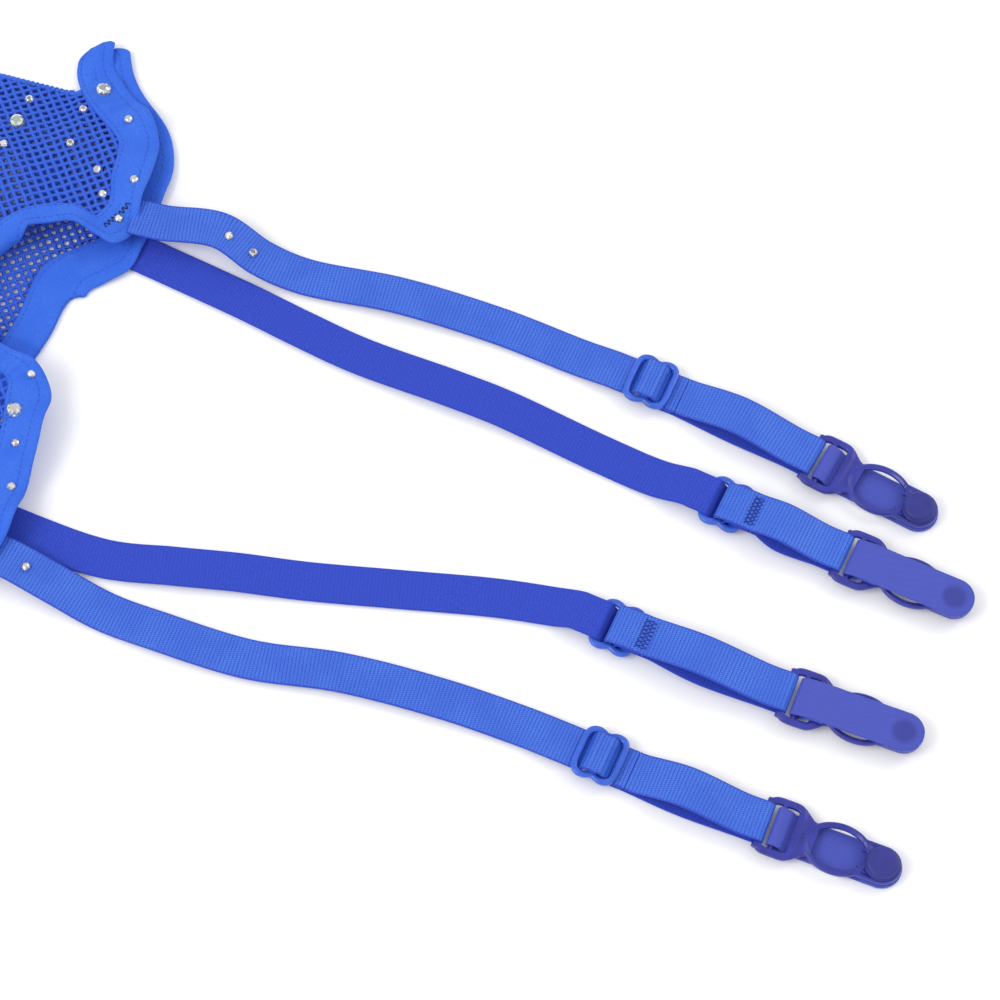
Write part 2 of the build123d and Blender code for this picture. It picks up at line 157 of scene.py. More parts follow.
def put(local, place, flipped=False, stack=0.0):
    """Points (along, across, up) of a hardware frame, turned over in its stack and set in place."""
    x, y, heading = place
    turn = math.radians(heading)
    s, w, z = np.asarray(local, float).T
    if flipped:
        w, z = -w, stack - z
    return np.stack([x + s * math.sin(turn) + w * math.cos(turn),
                     hem_y + y - s * math.cos(turn) + w * math.sin(turn), z], axis=1)


def skin(rings, count, closed=False):
    """Quads between rings of count points each, and the two end caps unless the run is closed."""
    ring = np.arange(rings if closed else rings - 1)[:, None]
    j = np.arange(count)[None, :]
    after, beside = (ring + 1) % rings, (j + 1) % count
    quads = np.stack([ring * count + j, ring * count + beside, after * count + beside,
                      after * count + j], axis=-1).reshape(-1, 4).tolist()
    if not closed:
        quads += [list(range(count))[::-1], list(range((rings - 1) * count, rings * count))]
    return quads


def make_piece(name, points, faces, materials, smooth=True, uv=None, which=None):
    """Mesh object from points in millimetres. uv is given per point, and which per face."""
    mesh = bpy.data.meshes.new(name)
    mesh.from_pydata((np.asarray(points) * 0.001).tolist(), [], faces)
    mesh.polygons.foreach_set("use_smooth", np.full(len(faces), smooth))
    for material in materials:
        mesh.materials.append(material)
    if which is not None:
        mesh.polygons.foreach_set("material_index", np.asarray(which, np.int32))
    if uv is not None:
        layer = mesh.uv_layers.new(name="cloth")
        corner = np.zeros(len(mesh.loops), np.int32)
        mesh.loops.foreach_get("vertex_index", corner)
        layer.data.foreach_set("uv", (np.asarray(uv)[corner] * 0.001).astype(np.float32).ravel())
    mesh.update()
    piece = bpy.data.objects.new(name, mesh)
    scene.collection.objects.link(piece)
    return piece


def tape(name, path, s, width, thick, materials, rib=0.0, face_up=True, crown=0.0):
    """Woven tape along a path of (x, y, z, heading): a flat section with round edges, whose face
    side stands up by rib times the root of |sin(pi s / pitch)| and bows by crown at its middle."""
    across = np.array([1, 0.985, 0.93, 0.86, 0.55, 0, -0.55, -0.86, -0.93, -0.985])
    edge = np.array([0, 0.62, 0.95, 1, 1, 1, 1, 1, 0.95, 0.62])
    u = np.r_[across, -across] * width / 2
    v = np.r_[edge, -edge] * thick / 2
    ribbed = np.r_[edge > 0.99, -edge > 0.99] if face_up else np.r_[edge > 2, edge > 0.99]
    centre, heading = path[:, :3], path[:, 3]
    along = np.gradient(centre, axis=0)
    along /= np.linalg.norm(along, axis=1)[:, None]
    side = np.stack([np.cos(heading), np.sin(heading), 0 * heading], axis=1)
    side -= (side * along).sum(1)[:, None] * along
    side /= np.linalg.norm(side, axis=1)[:, None]
    normal = np.cross(along, side)
    relief = rib * (np.sqrt(np.abs(np.sin(np.pi * s / rib_pitch))) - 1)
    lift = v[None, :] + np.sign(v)[None, :] * ribbed * relief[:, None]
    lift = lift + crown * (1 - (u / (width / 2)) ** 2)[None, :]
    rings = centre[:, None] + side[:, None] * u[None, :, None] + normal[:, None] * lift[:, :, None]
    faces = skin(len(s), len(u))
    column = np.arange((len(s) - 1) * len(u)) % len(u)
    on_top = column < len(across)
    which = np.r_[np.where(on_top == face_up, 0, 1), 1, 1] if len(materials) > 1 else None
    uv = np.stack(np.broadcast_arrays(s[:, None], u[None, :]), axis=-1).reshape(-1, 2)
    return make_piece(name, rings.reshape(-1, 3), faces, materials, uv=uv, which=which)


def new_material(name, color, rough, sheen=0.0, coat=0.0):
    """Principled material with its plain values set. Returns it, its tree and its shader."""
    material = bpy.data.materials.new(name)
    material.use_nodes = True
    shader = material.node_tree.nodes["Principled BSDF"]
    shader.inputs["Base Color"].default_value = color
    shader.inputs["Roughness"].default_value = rough
    shader.inputs["Sheen Weight"].default_value = sheen
    shader.inputs["Sheen Roughness"].default_value = 0.4
    shader.inputs["Sheen Tint"].default_value = (0.3, 0.45, 1.0, 1)
    shader.inputs["Specular IOR Level"].default_value = 0.3
    shader.inputs["Coat Weight"].default_value = coat
    return material, material.node_tree, shader


def node(tree, kind, values=(), **settings):
    """Shader node with settings, and values given for its inputs by name or number."""
    made = tree.nodes.new("ShaderNode" + kind)
    for key, value in settings.items():
        setattr(made, key, value)
    for key, value in dict(values).items():
        if hasattr(value, "is_output"):
            tree.links.new(value, made.inputs[key])
        else:
            made.inputs[key].default_value = value
    return made


def blend_colors(tree, mask, low, high, how="MIX"):
    """Colour that goes from low to high with the mask."""
    made = node(tree, "Mix", data_type="RGBA", blend_type=how)
    for slot, value in ((0, mask), (6, low), (7, high)):
        if hasattr(value, "is_output"):
            tree.links.new(value, made.inputs[slot])
        else:
            made.inputs[slot].default_value = value
    return made.outputs[2]


def remap(tree, value, low, high, start=0.0, end=1.0):
    """Value rescaled from low..high to start..end and held there."""
    return node(tree, "MapRange", {0: value, 1: low, 2: high, 3: start, 4: end}).outputs[0]


def math_node(tree, operation, first, second=0.0):
    """Output of one operation on two values or sockets."""
    return node(tree, "Math", {0: first, 1: second}, operation=operation).outputs[0]


def bump(tree, shader, height, distance, strength=1.0):
    """Connects a height, in units of distance in metres, to the shader's normal."""
    made = node(tree, "Bump", {"Strength": strength, "Distance": distance, "Height": height})
    tree.links.new(made.outputs[0], shader.inputs["Normal"])


def new_group(name, inputs, outputs):
    """Node group with float inputs {name: value} and outputs {name: kind}."""
    tree = bpy.data.node_groups.new(name, "ShaderNodeTree")
    for label, value in inputs.items():
        socket = tree.interface.new_socket(label, in_out="INPUT", socket_type="NodeSocketFloat")
        socket.default_value = value
    for label, kind in outputs.items():
        tree.interface.new_socket(label, in_out="OUTPUT", socket_type="NodeSocket" + kind)
    return tree, tree.nodes.new("NodeGroupInput"), tree.nodes.new("NodeGroupOutput")


def cloth_grain_group():
    """Fuzz of a knitted surface: fine grain of a given size in millimetres, and slow mottling."""
    tree, given, out = new_group("cloth_grain", {"Size": 0.4, "Mottle size": 14.0},
                                 {"Grain": "Float", "Mottle": "Float", "Flecks": "Float"})
    place = node(tree, "TexCoord").outputs["Object"]
    scale = math_node(tree, "DIVIDE", 1000.0, given.outputs["Size"])
    slow = math_node(tree, "DIVIDE", 1000.0, given.outputs["Mottle size"])
    grain = node(tree, "TexNoise", {"Vector": place, "Scale": scale, "Detail": 3.0})
    mottle = node(tree, "TexNoise", {"Vector": place, "Scale": slow, "Detail": 2.0})
    dots = node(tree, "TexVoronoi", {"Vector": place, "Scale": math_node(tree, "MULTIPLY", scale, 0.45)})
    fleck = remap(tree, dots.outputs["Distance"], 0.05, 0.22, 1.0, 0.0)
    sparse = remap(tree, mottle.outputs[0], 0.45, 0.75)
    tree.links.new(grain.outputs[0], out.inputs["Grain"])
    tree.links.new(mottle.outputs[0], out.inputs["Mottle"])
    tree.links.new(math_node(tree, "MULTIPLY", fleck, sparse), out.inputs["Flecks"])
    return tree


def ribbed_weave_group():
    """Cross-ribbed satin on the cloth's own map: a groove mask between ribs of the given pitch and
    the small floats along each rib, both in millimetres."""
    tree, given, out = new_group("ribbed_weave", {"Pitch": 1.3, "Float": 0.75},
                                 {"Groove": "Float", "Floats": "Float", "Selvedge": "Float"})
    split = node(tree, "SeparateXYZ", {0: node(tree, "UVMap", uv_map="cloth").outputs[0]})
    step = math_node(tree, "DIVIDE", math_node(tree, "MULTIPLY", split.outputs[0], 1000.0),
                     given.outputs["Pitch"])
    saw = math_node(tree, "PINGPONG", step, 0.5)
    row = math_node(tree, "FLOOR", step)
    beside = math_node(tree, "DIVIDE", math_node(tree, "MULTIPLY", split.outputs[1], 1000.0),
                       given.outputs["Float"])
    beside = math_node(tree, "ADD", beside, math_node(tree, "MULTIPLY", row, 0.5))
    tree.links.new(remap(tree, saw, 0.03, 0.17, 1.0, 0.0), out.inputs["Groove"])
    tree.links.new(remap(tree, math_node(tree, "PINGPONG", beside, 0.5), 0.04, 0.4), out.inputs["Floats"])
    edge = math_node(tree, "MULTIPLY", math_node(tree, "ABSOLUTE", split.outputs[1]), 1000.0)
    tree.links.new(remap(tree, edge, 6.7, 7.15), out.inputs["Selvedge"])
    return tree


def use_group(tree, group, values=()):
    """Outputs of a group set down in a tree with some of its inputs changed."""
    made = tree.nodes.new("ShaderNodeGroup")
    made.node_tree = group
    for key, value in dict(values).items():
        made.inputs[key].default_value = value
    return made.outputs


cloth_grain, ribbed_weave = cloth_grain_group(), ribbed_weave_group()


def satin_tape_material():
    """Shiny blue ribs with painted shade in the grooves, bright floats and a plain darker selvedge."""
    material, tree, shader = new_material("satin_elastic", linear(74, 126, 250), 0.42, coat=0.05)
    weave, grain = use_group(tree, ribbed_weave), use_group(tree, cloth_grain, {"Size": 0.3})
    color = blend_colors(tree, weave["Floats"], linear(34, 80, 214), linear(96, 154, 255))
    color = blend_colors(tree, remap(tree, grain["Grain"], 0.35, 0.7), color, linear(66, 118, 246))
    # Painted shade: the grooves between the ribs are darkened, interrupted by the grain.
    painted_groove_shade = math_node(tree, "MULTIPLY", weave["Groove"], remap(tree, grain["Grain"], 0.38, 0.6, 0.3, 1.0))
    color = blend_colors(tree, painted_groove_shade, color, linear(20, 50, 176))
    worn = remap(tree, grain["Mottle"], 0.35, 0.65, 0.0, 0.3)
    color = blend_colors(tree, worn, color, linear(44, 84, 216))
    color = blend_colors(tree, weave["Selvedge"], color, linear(42, 78, 212))
    tree.links.new(color, shader.inputs["Base Color"])
    tree.links.new(remap(tree, weave["Groove"], 0, 1, 0.34, 0.75), shader.inputs["Roughness"])
    bump(tree, shader, math_node(tree, "ADD", weave["Floats"], grain["Grain"]), 0.00006)
    return material


def plush_tape_material():
    """Brushed inner side of the elastic: matte, deeper blue, with faint ribs drawn as painted shade in their
    grooves, and fine nap.
    """
    material, tree, shader = new_material("plush_elastic", linear(66, 86, 198), 0.85, sheen=0.25)
    weave, grain = use_group(tree, ribbed_weave), use_group(tree, cloth_grain, {"Size": 0.32})
    color = blend_colors(tree, remap(tree, grain["Grain"], 0.3, 0.7), linear(42, 66, 194), linear(64,
                                                                                                  92, 224))
    # Painted shade: faint darker lines in the grooves between the ribs.
    color = blend_colors(tree, math_node(tree, "MULTIPLY", weave["Groove"], 0.35), color, linear(32, 52, 170))
    color = blend_colors(tree, weave["Selvedge"], color, linear(50, 74, 204))
    tree.links.new(color, shader.inputs["Base Color"])
    bump(tree, shader, grain["Grain"], 0.00012)
    return material


satin, plush = satin_tape_material(), plush_tape_material()


def heading_of(points):
    """Heading off -Y towards +X at each point of a route, from its two neighbours."""
    d = np.gradient(np.asarray(points, float)[:, :2], axis=0)
    return np.arctan2(d[:, 0], -d[:, 1])


def over_slider(s):
    """Height of the long run: flat under both side bars, up over the wrapped middle bar."""
    ridges = 0.45 * np.exp(-(((np.abs(s) - 1.9) / 0.8) ** 2))
    return web_z + (over_z - web_z) * smooth_step((5.9 - np.abs(s)) / 3.5) + ridges


def reach_point(place, s):
    """Point a length s along a piece of hardware from its place, as x and y past the hem."""
    turn = math.radians(place[2])
    return (place[0] + s * math.sin(turn), place[1] - s * math.cos(turn))


bend_before, bend_after = 5.0, 9.0
for name, lay in strap_layouts.items():
    up, slider = not lay["flipped"], lay["slider"]
    turn = math.radians(slider[2])
    level = 0.0 if up else slider_stack
    route = [lay["root"], lay["bend"], *lay["route"]]
    for back in (3.0, 0.0):
        route.append((*reach_point(slider, -slider_reach - back), web_z if up else slider_stack - web_z))
    route = np.array(route)
    headings = heading_of(route)
    headings[:2], headings[-2:] = 0.0, turn
    route[:, 1] += hem_y
    path, s = smooth_line(np.column_stack([route, headings]), rib_pitch / 8)
    step = s[1] - s[0]
    local = np.arange(-slider_reach + step, slider_reach, step)
    crossing = put(np.column_stack([local, 0 * local, over_slider(local)]), slider, not up, slider_stack)
    path = np.vstack([path, np.column_stack([crossing, np.full(len(local), turn)])])
    s = np.arange(len(path)) * step
    cut = int(np.argmax(path[:, 1] < hem_y + lay["bend"][1] - bend_after))
    upper = tape(f"{name}_strap_top", path[: cut + 1], s[: cut + 1], tape_width, tape_thick,
                 [satin, plush], rib_height, up)
    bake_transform(upper)
    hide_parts("strap_roots")
    lower = tape(f"{name}_strap_run", path[cut:], s[cut:], tape_width, tape_thick, [satin, plush],
                 rib_height, up)
    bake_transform(lower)
    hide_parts(f"{name}_strap_tape")

# ---- Loops of the suspenders ----
# The same elastic goes on past the slider, round the clip's bar and back underneath to the slider,
# where its end is wrapped round the middle bar and sewn down as a short tail.
frame_z, loop_r, bar_s, fold_reach, clip_stack, wrap_r = 3.4, 1.8, 1.2, 6.0, 7.55, 1.55


def loop_points(lay):
    """Route of the loop as (x, y, z, heading): out over the clip's bar, half a turn, and back."""
    slider, clip, flipped = lay["slider"], lay["clip"], lay["flipped"]
    half_turn = np.linspace(math.pi / 2, -math.pi / 2, 7)
    bar = [(bar_s + loop_r * math.cos(a), frame_z + loop_r * math.sin(a)) for a in half_turn]
    wrapped = [(11.4, return_z), (7.0, return_z), (3.0, return_z + 0.1), (0.4, return_z + 0.5),
               (-1.6, 2.4), (-1.7, slider_z - 0.2), (-1.2, slider_z + 1.0), (0.0, slider_z + wrap_r),
               (1.2, slider_z + 1.0), (1.7, slider_z - 0.3), (2.1, 2.9), (3.4, tail_z + 0.2),
               (5.4, tail_z), (slider_reach - 1.0, tail_z)]

    def placed(points, place, stack):
        """Points (s, z) of one piece of hardware, set in place with its heading."""
        flat = [(s, 0.0, z) for s, z in points]
        xyz = put(flat, place, flipped, stack)
        return np.column_stack([xyz, np.full(len(points), math.radians(place[2]))])

    outward = placed([(slider_reach, web_z), (slider_reach + 2.5, web_z)], slider, slider_stack)
    round_bar = placed([(-fold_reach, frame_z + loop_r), *bar, (-fold_reach, frame_z - loop_r)],
                       clip, clip_stack)
    home = placed(wrapped, slider, slider_stack)
    middles = []
    for a, b in ((outward[-1], round_bar[0]), (round_bar[-1], home[0])):
        heading = (math.radians(slider[2]) + math.radians(clip[2])) / 2
        upper = (a[2] + b[2] > clip_stack)
        dx, dy, dz = (0.0, 0.0, 2.8) if upper else (-1.3, -0.5, -0.3)
        z = max((a[2] + b[2]) / 2 + dz, 0.6)
        middles.append([[lay["middle"][0] + dx, lay["middle"][1] + hem_y + dy, z, heading]])
    return np.vstack([outward, middles[0], round_bar, middles[1], home])


for name, lay in strap_layouts.items():
    path, s = smooth_line(loop_points(lay), rib_pitch / 8)
    loop = tape(f"{name}_strap_loop", path, s, tape_width, tape_thick, [satin, plush], rib_height,
                not lay["flipped"])
    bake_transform(loop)
    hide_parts(f"{name}_loop", f"{name}_loop_fold")

# ---- Tacks on the loops ----
# Crossing zigzags of polyester thread across the tape just past each slider hold its folded end
# down, and stand a little proud of the ribs.


def thread_tube(path, radius, count=6):
    """Round tube of points about a path: centre plus radius times the turning of two normals."""
    along = np.gradient(path, axis=0)
    along /= np.linalg.norm(along, axis=1)[:, None]
    side = np.cross(along, (0, 0, 1.0))
    side /= np.maximum(np.linalg.norm(side, axis=1), 1e-9)[:, None]
    up = np.cross(side, along)
    turn = np.linspace(0, 2 * math.pi, count, endpoint=False)
    rings = (path[:, None] - radius * side[:, None] * np.cos(turn)[None, :, None]
             + radius * up[:, None] * np.sin(turn)[None, :, None])
    return rings.reshape(-1, 3), skin(len(path), count)


def together(parts):
    """Points and faces of several shells as one."""
    points, faces, start = [], [], 0
    for shell_points, shell_faces in parts:
        points.append(shell_points)
        faces += [[i + start for i in f] for f in shell_faces]
        start += len(shell_points)
    return np.vstack(points), faces


def thread_material(name, color):
    """Twisted thread: two tones in fine bands, slightly shiny."""
    material, tree, shader = new_material(name, color, 0.5, sheen=0.3)
    grain = use_group(tree, cloth_grain, {"Size": 0.25})
    dark = tuple(0.55 * c for c in color[:3]) + (1.0,)
    mixed = blend_colors(tree, remap(tree, grain["Grain"], 0.35, 0.65), dark, color)
    tree.links.new(mixed, shader.inputs["Base Color"])
    bump(tree, shader, grain["Grain"], 0.00005)
    return material


navy_thread = thread_material("navy_thread", linear(20, 26, 90))
# Painted shade: the tack thread is coloured dark to stand in for the shade in its needle holes; the thread
# itself is lighter.
shade_dark_tack_thread = thread_material("shade_dark_tack_thread", linear(30, 62, 186))
jersey_thread = thread_material("jersey_thread", linear(66, 122, 250))
for name, lay in strap_layouts.items():
    # Behind, two crossing zigzags show on the loop's face; in front the tack is on the hidden tail.
    rows, level = ((9.8, 12.4), slider_stack - return_z) if lay["flipped"] else ((7.6,), tail_z - 0.05)
    tooth = np.arange(8)
    across = np.linspace(-5.6, 5.6, 8)
    shells = []
    for middle in rows:
        for start in (-1, 1):
            zigzag = np.column_stack([middle + 1.2 * start * (tooth % 2 * 2 - 1), across,
                                      np.full(8, level + tape_thick / 2 + 0.04)])
            path, _ = smooth_line(put(zigzag, lay["slider"]), 0.35)
            shells.append(thread_tube(path[:, :3], 0.2))
    tack = make_piece(f"{name}_loop_tack", *together(shells), [shade_dark_tack_thread])
    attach(tack, f"{name}_slider")

# ---- Sliders ----
# Moulded glossy plastic adjusters: a rounded ring with a small waist at both ends of its round
# middle bar. The tape holds each one on its own edges, with nothing fixed to it.
slider_length, slider_width, slider_wire, slider_thick = 17.2, 20.0, 2.4, 2.2


def ring_path(half_length, half_width, power, waist, count):
    """Closed outline |x/a|^p + |y/b|^p = 1, drawn in by waist times exp(-(x/2.2)^2) at both ends
    of the middle bar, in even steps."""
    t = np.linspace(0, 2 * math.pi, 2001)
    x = half_length * np.sign(np.cos(t)) * np.abs(np.cos(t)) ** (2 / power)
    y = half_width * np.sign(np.sin(t)) * np.abs(np.sin(t)) ** (2 / power)
    y -= np.sign(y) * waist * np.exp(-((x / 2.2) ** 2))
    run = np.r_[0, np.cumsum(np.hypot(np.diff(x), np.diff(y)))]
    even = np.linspace(0, run[-1], count, endpoint=False)
    return np.column_stack([np.interp(even, run, x), np.interp(even, run, y)])


def swept_ring(outline, width, thick, power=2.6, z=0.0, count=16, closed=True):
    """Bar of rounded section carried round a flat outline that runs anticlockwise."""
    after, before = np.roll(outline, -1, axis=0), np.roll(outline, 1, axis=0)
    along = after - before
    if not closed:
        along = np.gradient(outline, axis=0)
    along /= np.linalg.norm(along, axis=1)[:, None]
    outward = np.column_stack([along[:, 1], -along[:, 0]])
    turn = np.linspace(0, 2 * math.pi, count, endpoint=False)
    a = width / 2 * np.sign(np.cos(turn)) * np.abs(np.cos(turn)) ** (2 / power)
    b = thick / 2 * np.sign(np.sin(turn)) * np.abs(np.sin(turn)) ** (2 / power)
    flat = outline[:, None] - outward[:, None] * a[None, :, None]
    high = np.broadcast_to(z + b[None, :, None], (*flat.shape[:2], 1))
    points = np.concatenate([flat, high], axis=2).reshape(-1, 3)
    faces = skin(len(outline), count, closed)
    return points, [f[::-1] for f in faces]


def cross_bar(s, half_width, radius, z=0.0, count=16):
    """Round bar across a frame at a distance s along it."""
    line = np.column_stack([np.full(9, s), np.linspace(-half_width, half_width, 9), np.full(9, z)])
    return thread_tube(line, radius, count)


def moulded_material(name, color, rough, coat, through=0.0):
    """Moulded plastic with a faint swirl in its colour and slightly uneven gloss."""
    material, tree, shader = new_material(name, color, rough, coat=coat)
    shader.inputs["Transmission Weight"].default_value = through
    shader.inputs["Coat Roughness"].default_value = 0.12
    place = node(tree, "TexCoord").outputs["Object"]
    swirl = node(tree, "TexNoise", {"Vector": place, "Scale": 160.0, "Detail": 3.0}).outputs[0]
    fine = node(tree, "TexNoise", {"Vector": place, "Scale": 2600.0, "Detail": 2.0}).outputs[0]
    dark = tuple(0.78 * c for c in color[:3]) + (1.0,)
    tree.links.new(blend_colors(tree, remap(tree, swirl, 0.35, 0.65), dark, color),
                   shader.inputs["Base Color"])
    tree.links.new(remap(tree, swirl, 0.3, 0.7, rough * 0.8, rough * 1.3), shader.inputs["Roughness"])
    bump(tree, shader, fine, 0.00002)
    return material


slider_plastic = moulded_material("slider_plastic", linear(56, 110, 240), 0.22, 0.5)
slider_ring = swept_ring(ring_path((slider_length - slider_wire) / 2, (slider_width - slider_wire) / 2,
                                   4.6, 1.2, 160), slider_wire, slider_thick)
slider_shape, slider_faces = together([slider_ring, cross_bar(0.0, slider_width / 2 - 1.5, 0.9)])
for name, lay in strap_layouts.items():
    shape = slider_shape + (0, 0, slider_z)
    slider = make_piece(f"{name}_slider_moulding", put(shape, lay["slider"], lay["flipped"], slider_stack),
                        slider_faces, [slider_plastic])
    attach(slider, f"{name}_slider")
    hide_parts(f"{name}_slider")

# ---- Clip frames ----
# Keyhole clips in tinted plastic: two rounded ears with a window for both bars, a flat shoulder,
# a wide oval ring with a raised rim, and a slotted nose in which the button locks.
body_length, clip_width, clip_thick, window_width = 15.0, 21.3, 2.4, 16.6
keyhole_s, keyhole_length, keyhole_width, lock_s = 28.0, 20.6, 14.6, 43.9
nose_width, slot_width, ribbon_bar_s = 13.6, 4.8, 6.6


def ellipse_path(centre, half_length, half_width, count):
    """Closed ellipse about a centre on the clip's middle line."""
    t = np.linspace(0, 2 * math.pi, count, endpoint=False)
    return np.column_stack([centre + half_length * np.cos(t), half_width * np.sin(t)])


def nose_path(half_width, start):
    """Open U from one side of the ring round the end of the slot and back, anticlockwise."""
    t = np.linspace(-math.pi / 2, math.pi / 2, 40)
    s_line = np.linspace(start, lock_s, 12)[:-1]
    low = np.column_stack([s_line, np.full(11, -half_width)])
    bend = np.column_stack([lock_s + half_width * np.cos(t), half_width * np.sin(t)])
    return np.vstack([low, bend, (low * (1, -1))[::-1]])


def flat_plate(outline, low, high):
    """Slab between two heights over an anticlockwise outline."""
    n = len(outline)
    rings = np.vstack([np.column_stack([outline, np.full(n, z)]) for z in (low, high)])
    return rings, skin(2, n)


def window_frame_path(count):
    """Closed rounded rectangle of the ears and the window's side walls."""
    path = ring_path((body_length - 2.4) / 2, (clip_width - 2.35) / 2, 5.0, 0.0, count)
    return path + (body_length / 2, 0)


def mould(name, shells, voxel, passes):
    """Joins closed shells into one skin on a fine grid and rounds its edges by smoothing."""
    rough = make_piece(name, *together(shells), [])
    remesh = rough.modifiers.new("join", "REMESH")
    remesh.mode, remesh.voxel_size, remesh.use_smooth_shade = "VOXEL", voxel * 0.001, True
    soften = rough.modifiers.new("soften", "SMOOTH")
    soften.factor, soften.iterations = 0.5, passes
    done = bpy.data.meshes.new_from_object(rough.evaluated_get(bpy.context.evaluated_depsgraph_get()))
    points = np.zeros(len(done.vertices) * 3, np.float32)
    done.vertices.foreach_get("co", points)
    faces = [list(p.vertices) for p in done.polygons]
    bpy.data.objects.remove(rough)
    return points.reshape(-1, 3) * 1000.0, faces


shoulder = np.array([(11.8, 9.6), (11.8, -9.6), (13.6, -9.8), (17.4, -6.8), (20.0, -5.8), (20.0, 5.8),
                     (17.4, 6.8), (13.6, 9.8)])
clip_shape, clip_faces = mould("clip_mould", [
    swept_ring(window_frame_path(150), 2.75, clip_thick, 3.0),
    cross_bar(bar_s, window_width / 2 + 1.2, 1.2),
    cross_bar(ribbon_bar_s, window_width / 2 + 1.2, 1.0),
    flat_plate(shoulder, -0.65, 0.65),
    swept_ring(ellipse_path(keyhole_s, keyhole_length / 2 + 1.25, keyhole_width / 2 + 1.25, 160),
               1.6, clip_thick, 2.6),
    swept_ring(ellipse_path(keyhole_s, keyhole_length / 2 + 0.55, keyhole_width / 2 + 0.55, 160),
               1.4, clip_thick * 0.62, 3.0),
    swept_ring(nose_path(nose_width / 2 - 0.7, 35.5), 1.5, clip_thick, 3.0, closed=False),
    swept_ring(nose_path((nose_width + slot_width) / 4, 36.5), (nose_width - slot_width) / 2,
               clip_thick * 0.62, 5.0, closed=False),
    swept_ring(nose_path(slot_width / 2 + 0.5, 36.0), 0.9, clip_thick * 0.8, 2.4, closed=False),
], 0.24, 2)
clip_plastic = moulded_material("clip_plastic", linear(56, 62, 184), 0.3, 0.25, through=0.1)
for name, lay in strap_layouts.items():
    shape = clip_shape + (0, 0, frame_z)
    clip = make_piece(f"{name}_clip_moulding", put(shape, lay["clip"], lay["flipped"], clip_stack),
                      clip_faces, [clip_plastic])
    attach(clip, f"{name}_clip")
    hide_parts(f"{name}_clip_frame")

# ---- Tongues ----
# A plain woven ribbon goes round the clip's inner bar and under the frame to the button's pad.
# It carries the button along the keyhole, and its short tail is sewn back under the shoulder.
tongue_width, strip_z, pad_start, pad_end, ribbon_wrap = 14.5, 0.55, 38.3, 51.0, 1.65


def ribbon_material():
    """Plain weave ribbon with a fine thread count."""
    material, tree, shader = new_material("tongue_ribbon", linear(78, 92, 196), 0.6, sheen=0.2)
    weave = use_group(tree, ribbed_weave, {"Pitch": 0.5, "Float": 0.5})
    grain = use_group(tree, cloth_grain, {"Size": 0.25})
    color = blend_colors(tree, weave["Floats"], linear(66, 77, 186), linear(97, 112, 228))
    color = blend_colors(tree, weave["Groove"], color, linear(61, 70, 178))
    tree.links.new(color, shader.inputs["Base Color"])
    height = math_node(tree, "ADD", weave["Floats"], grain["Grain"])
    bump(tree, shader, height, 0.00006)
    return material


ribbon = ribbon_material()
half_turn = np.linspace(-math.pi / 2, -3 * math.pi / 2, 7)
round_inner_bar = [(ribbon_bar_s + ribbon_wrap * math.cos(a), frame_z + ribbon_wrap * math.sin(a))
                   for a in half_turn]
tongue_line = [(pad_start + 1.0, strip_z), (30.0, strip_z), (20.0, strip_z), (12.0, strip_z),
               (8.6, strip_z + 0.45), *round_inner_bar, (9.2, frame_z + 0.6), (10.6, 2.3),
               (12.6, strip_z + 1.15), (16.9, strip_z + 1.05)]
for name, lay in strap_layouts.items():
    xyz = put([(s, 0.0, z) for s, z in tongue_line], lay["clip"], lay["flipped"], clip_stack)
    turn = math.radians(lay["clip"][2])
    path, s = smooth_line(np.column_stack([xyz, np.full(len(xyz), turn)]), 0.4)
    tongue = tape(f"{name}_tongue_ribbon", path, s, tongue_width, 0.8, [ribbon])
    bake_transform(tongue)
    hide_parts(f"{name}_tongue")

# ---- Buttons ----
# Soft moulded buttons: a low round cap on a wider flange and a stem, in one with the flat round
# pad that is bonded to the ribbon's end under the frame.
flange_z, cap_r, flange_r, stem_r = 4.75, 5.7, 6.2, 2.0


def turned(profile, centre, count=56):
    """Surface of revolution of an (radius, height) profile, closed by a cap at both ends."""
    turn = np.linspace(0, 2 * math.pi, count, endpoint=False)
    r, z = np.array(profile).T
    points = np.stack([centre + r[:, None] * np.cos(turn), r[:, None] * np.sin(turn),
                       np.broadcast_to(z[:, None], (len(r), count))], axis=-1)
    return points.reshape(-1, 3), skin(len(r), count)


def pad_shell():
    """Pad with a square start and a round end, its edges eased by four stacked outlines."""
    t = np.linspace(-math.pi / 2, math.pi / 2, 40)
    round_r = tongue_width / 2
    layers = []
    for inset, z in ((0.35, 0.1), (0.0, 0.4), (0.0, 1.65), (0.35, 1.95)):
        end = np.column_stack([pad_end - round_r + (round_r - inset) * np.cos(t),
                               (round_r - inset) * np.sin(t)])
        start = [(pad_start + inset, round_r - inset), (pad_start + inset, inset - round_r)]
        outline = np.vstack([end, start])
        layers.append(np.column_stack([outline, np.full(len(outline), z)]))
    return np.vstack(layers), skin(4, 42)


cap_profile = [(stem_r, 1.2), (stem_r, flange_z), (flange_r - 0.3, flange_z), (flange_r, flange_z + 0.2),
               (flange_r, flange_z + 0.6), (flange_r - 0.3, flange_z + 0.8), (cap_r, flange_z + 0.85),
               (cap_r + 0.05, flange_z + 1.5), (cap_r - 0.2, flange_z + 2.2), (cap_r - 0.7, flange_z + 2.6),
               (cap_r - 1.2, flange_z + 2.76), (cap_r - 1.6, flange_z + 2.8), (1.0, flange_z + 2.8)]
cap_mesh, pad_mesh = turned(cap_profile, lock_s), pad_shell()
button_shape, button_faces = together([cap_mesh, pad_mesh])


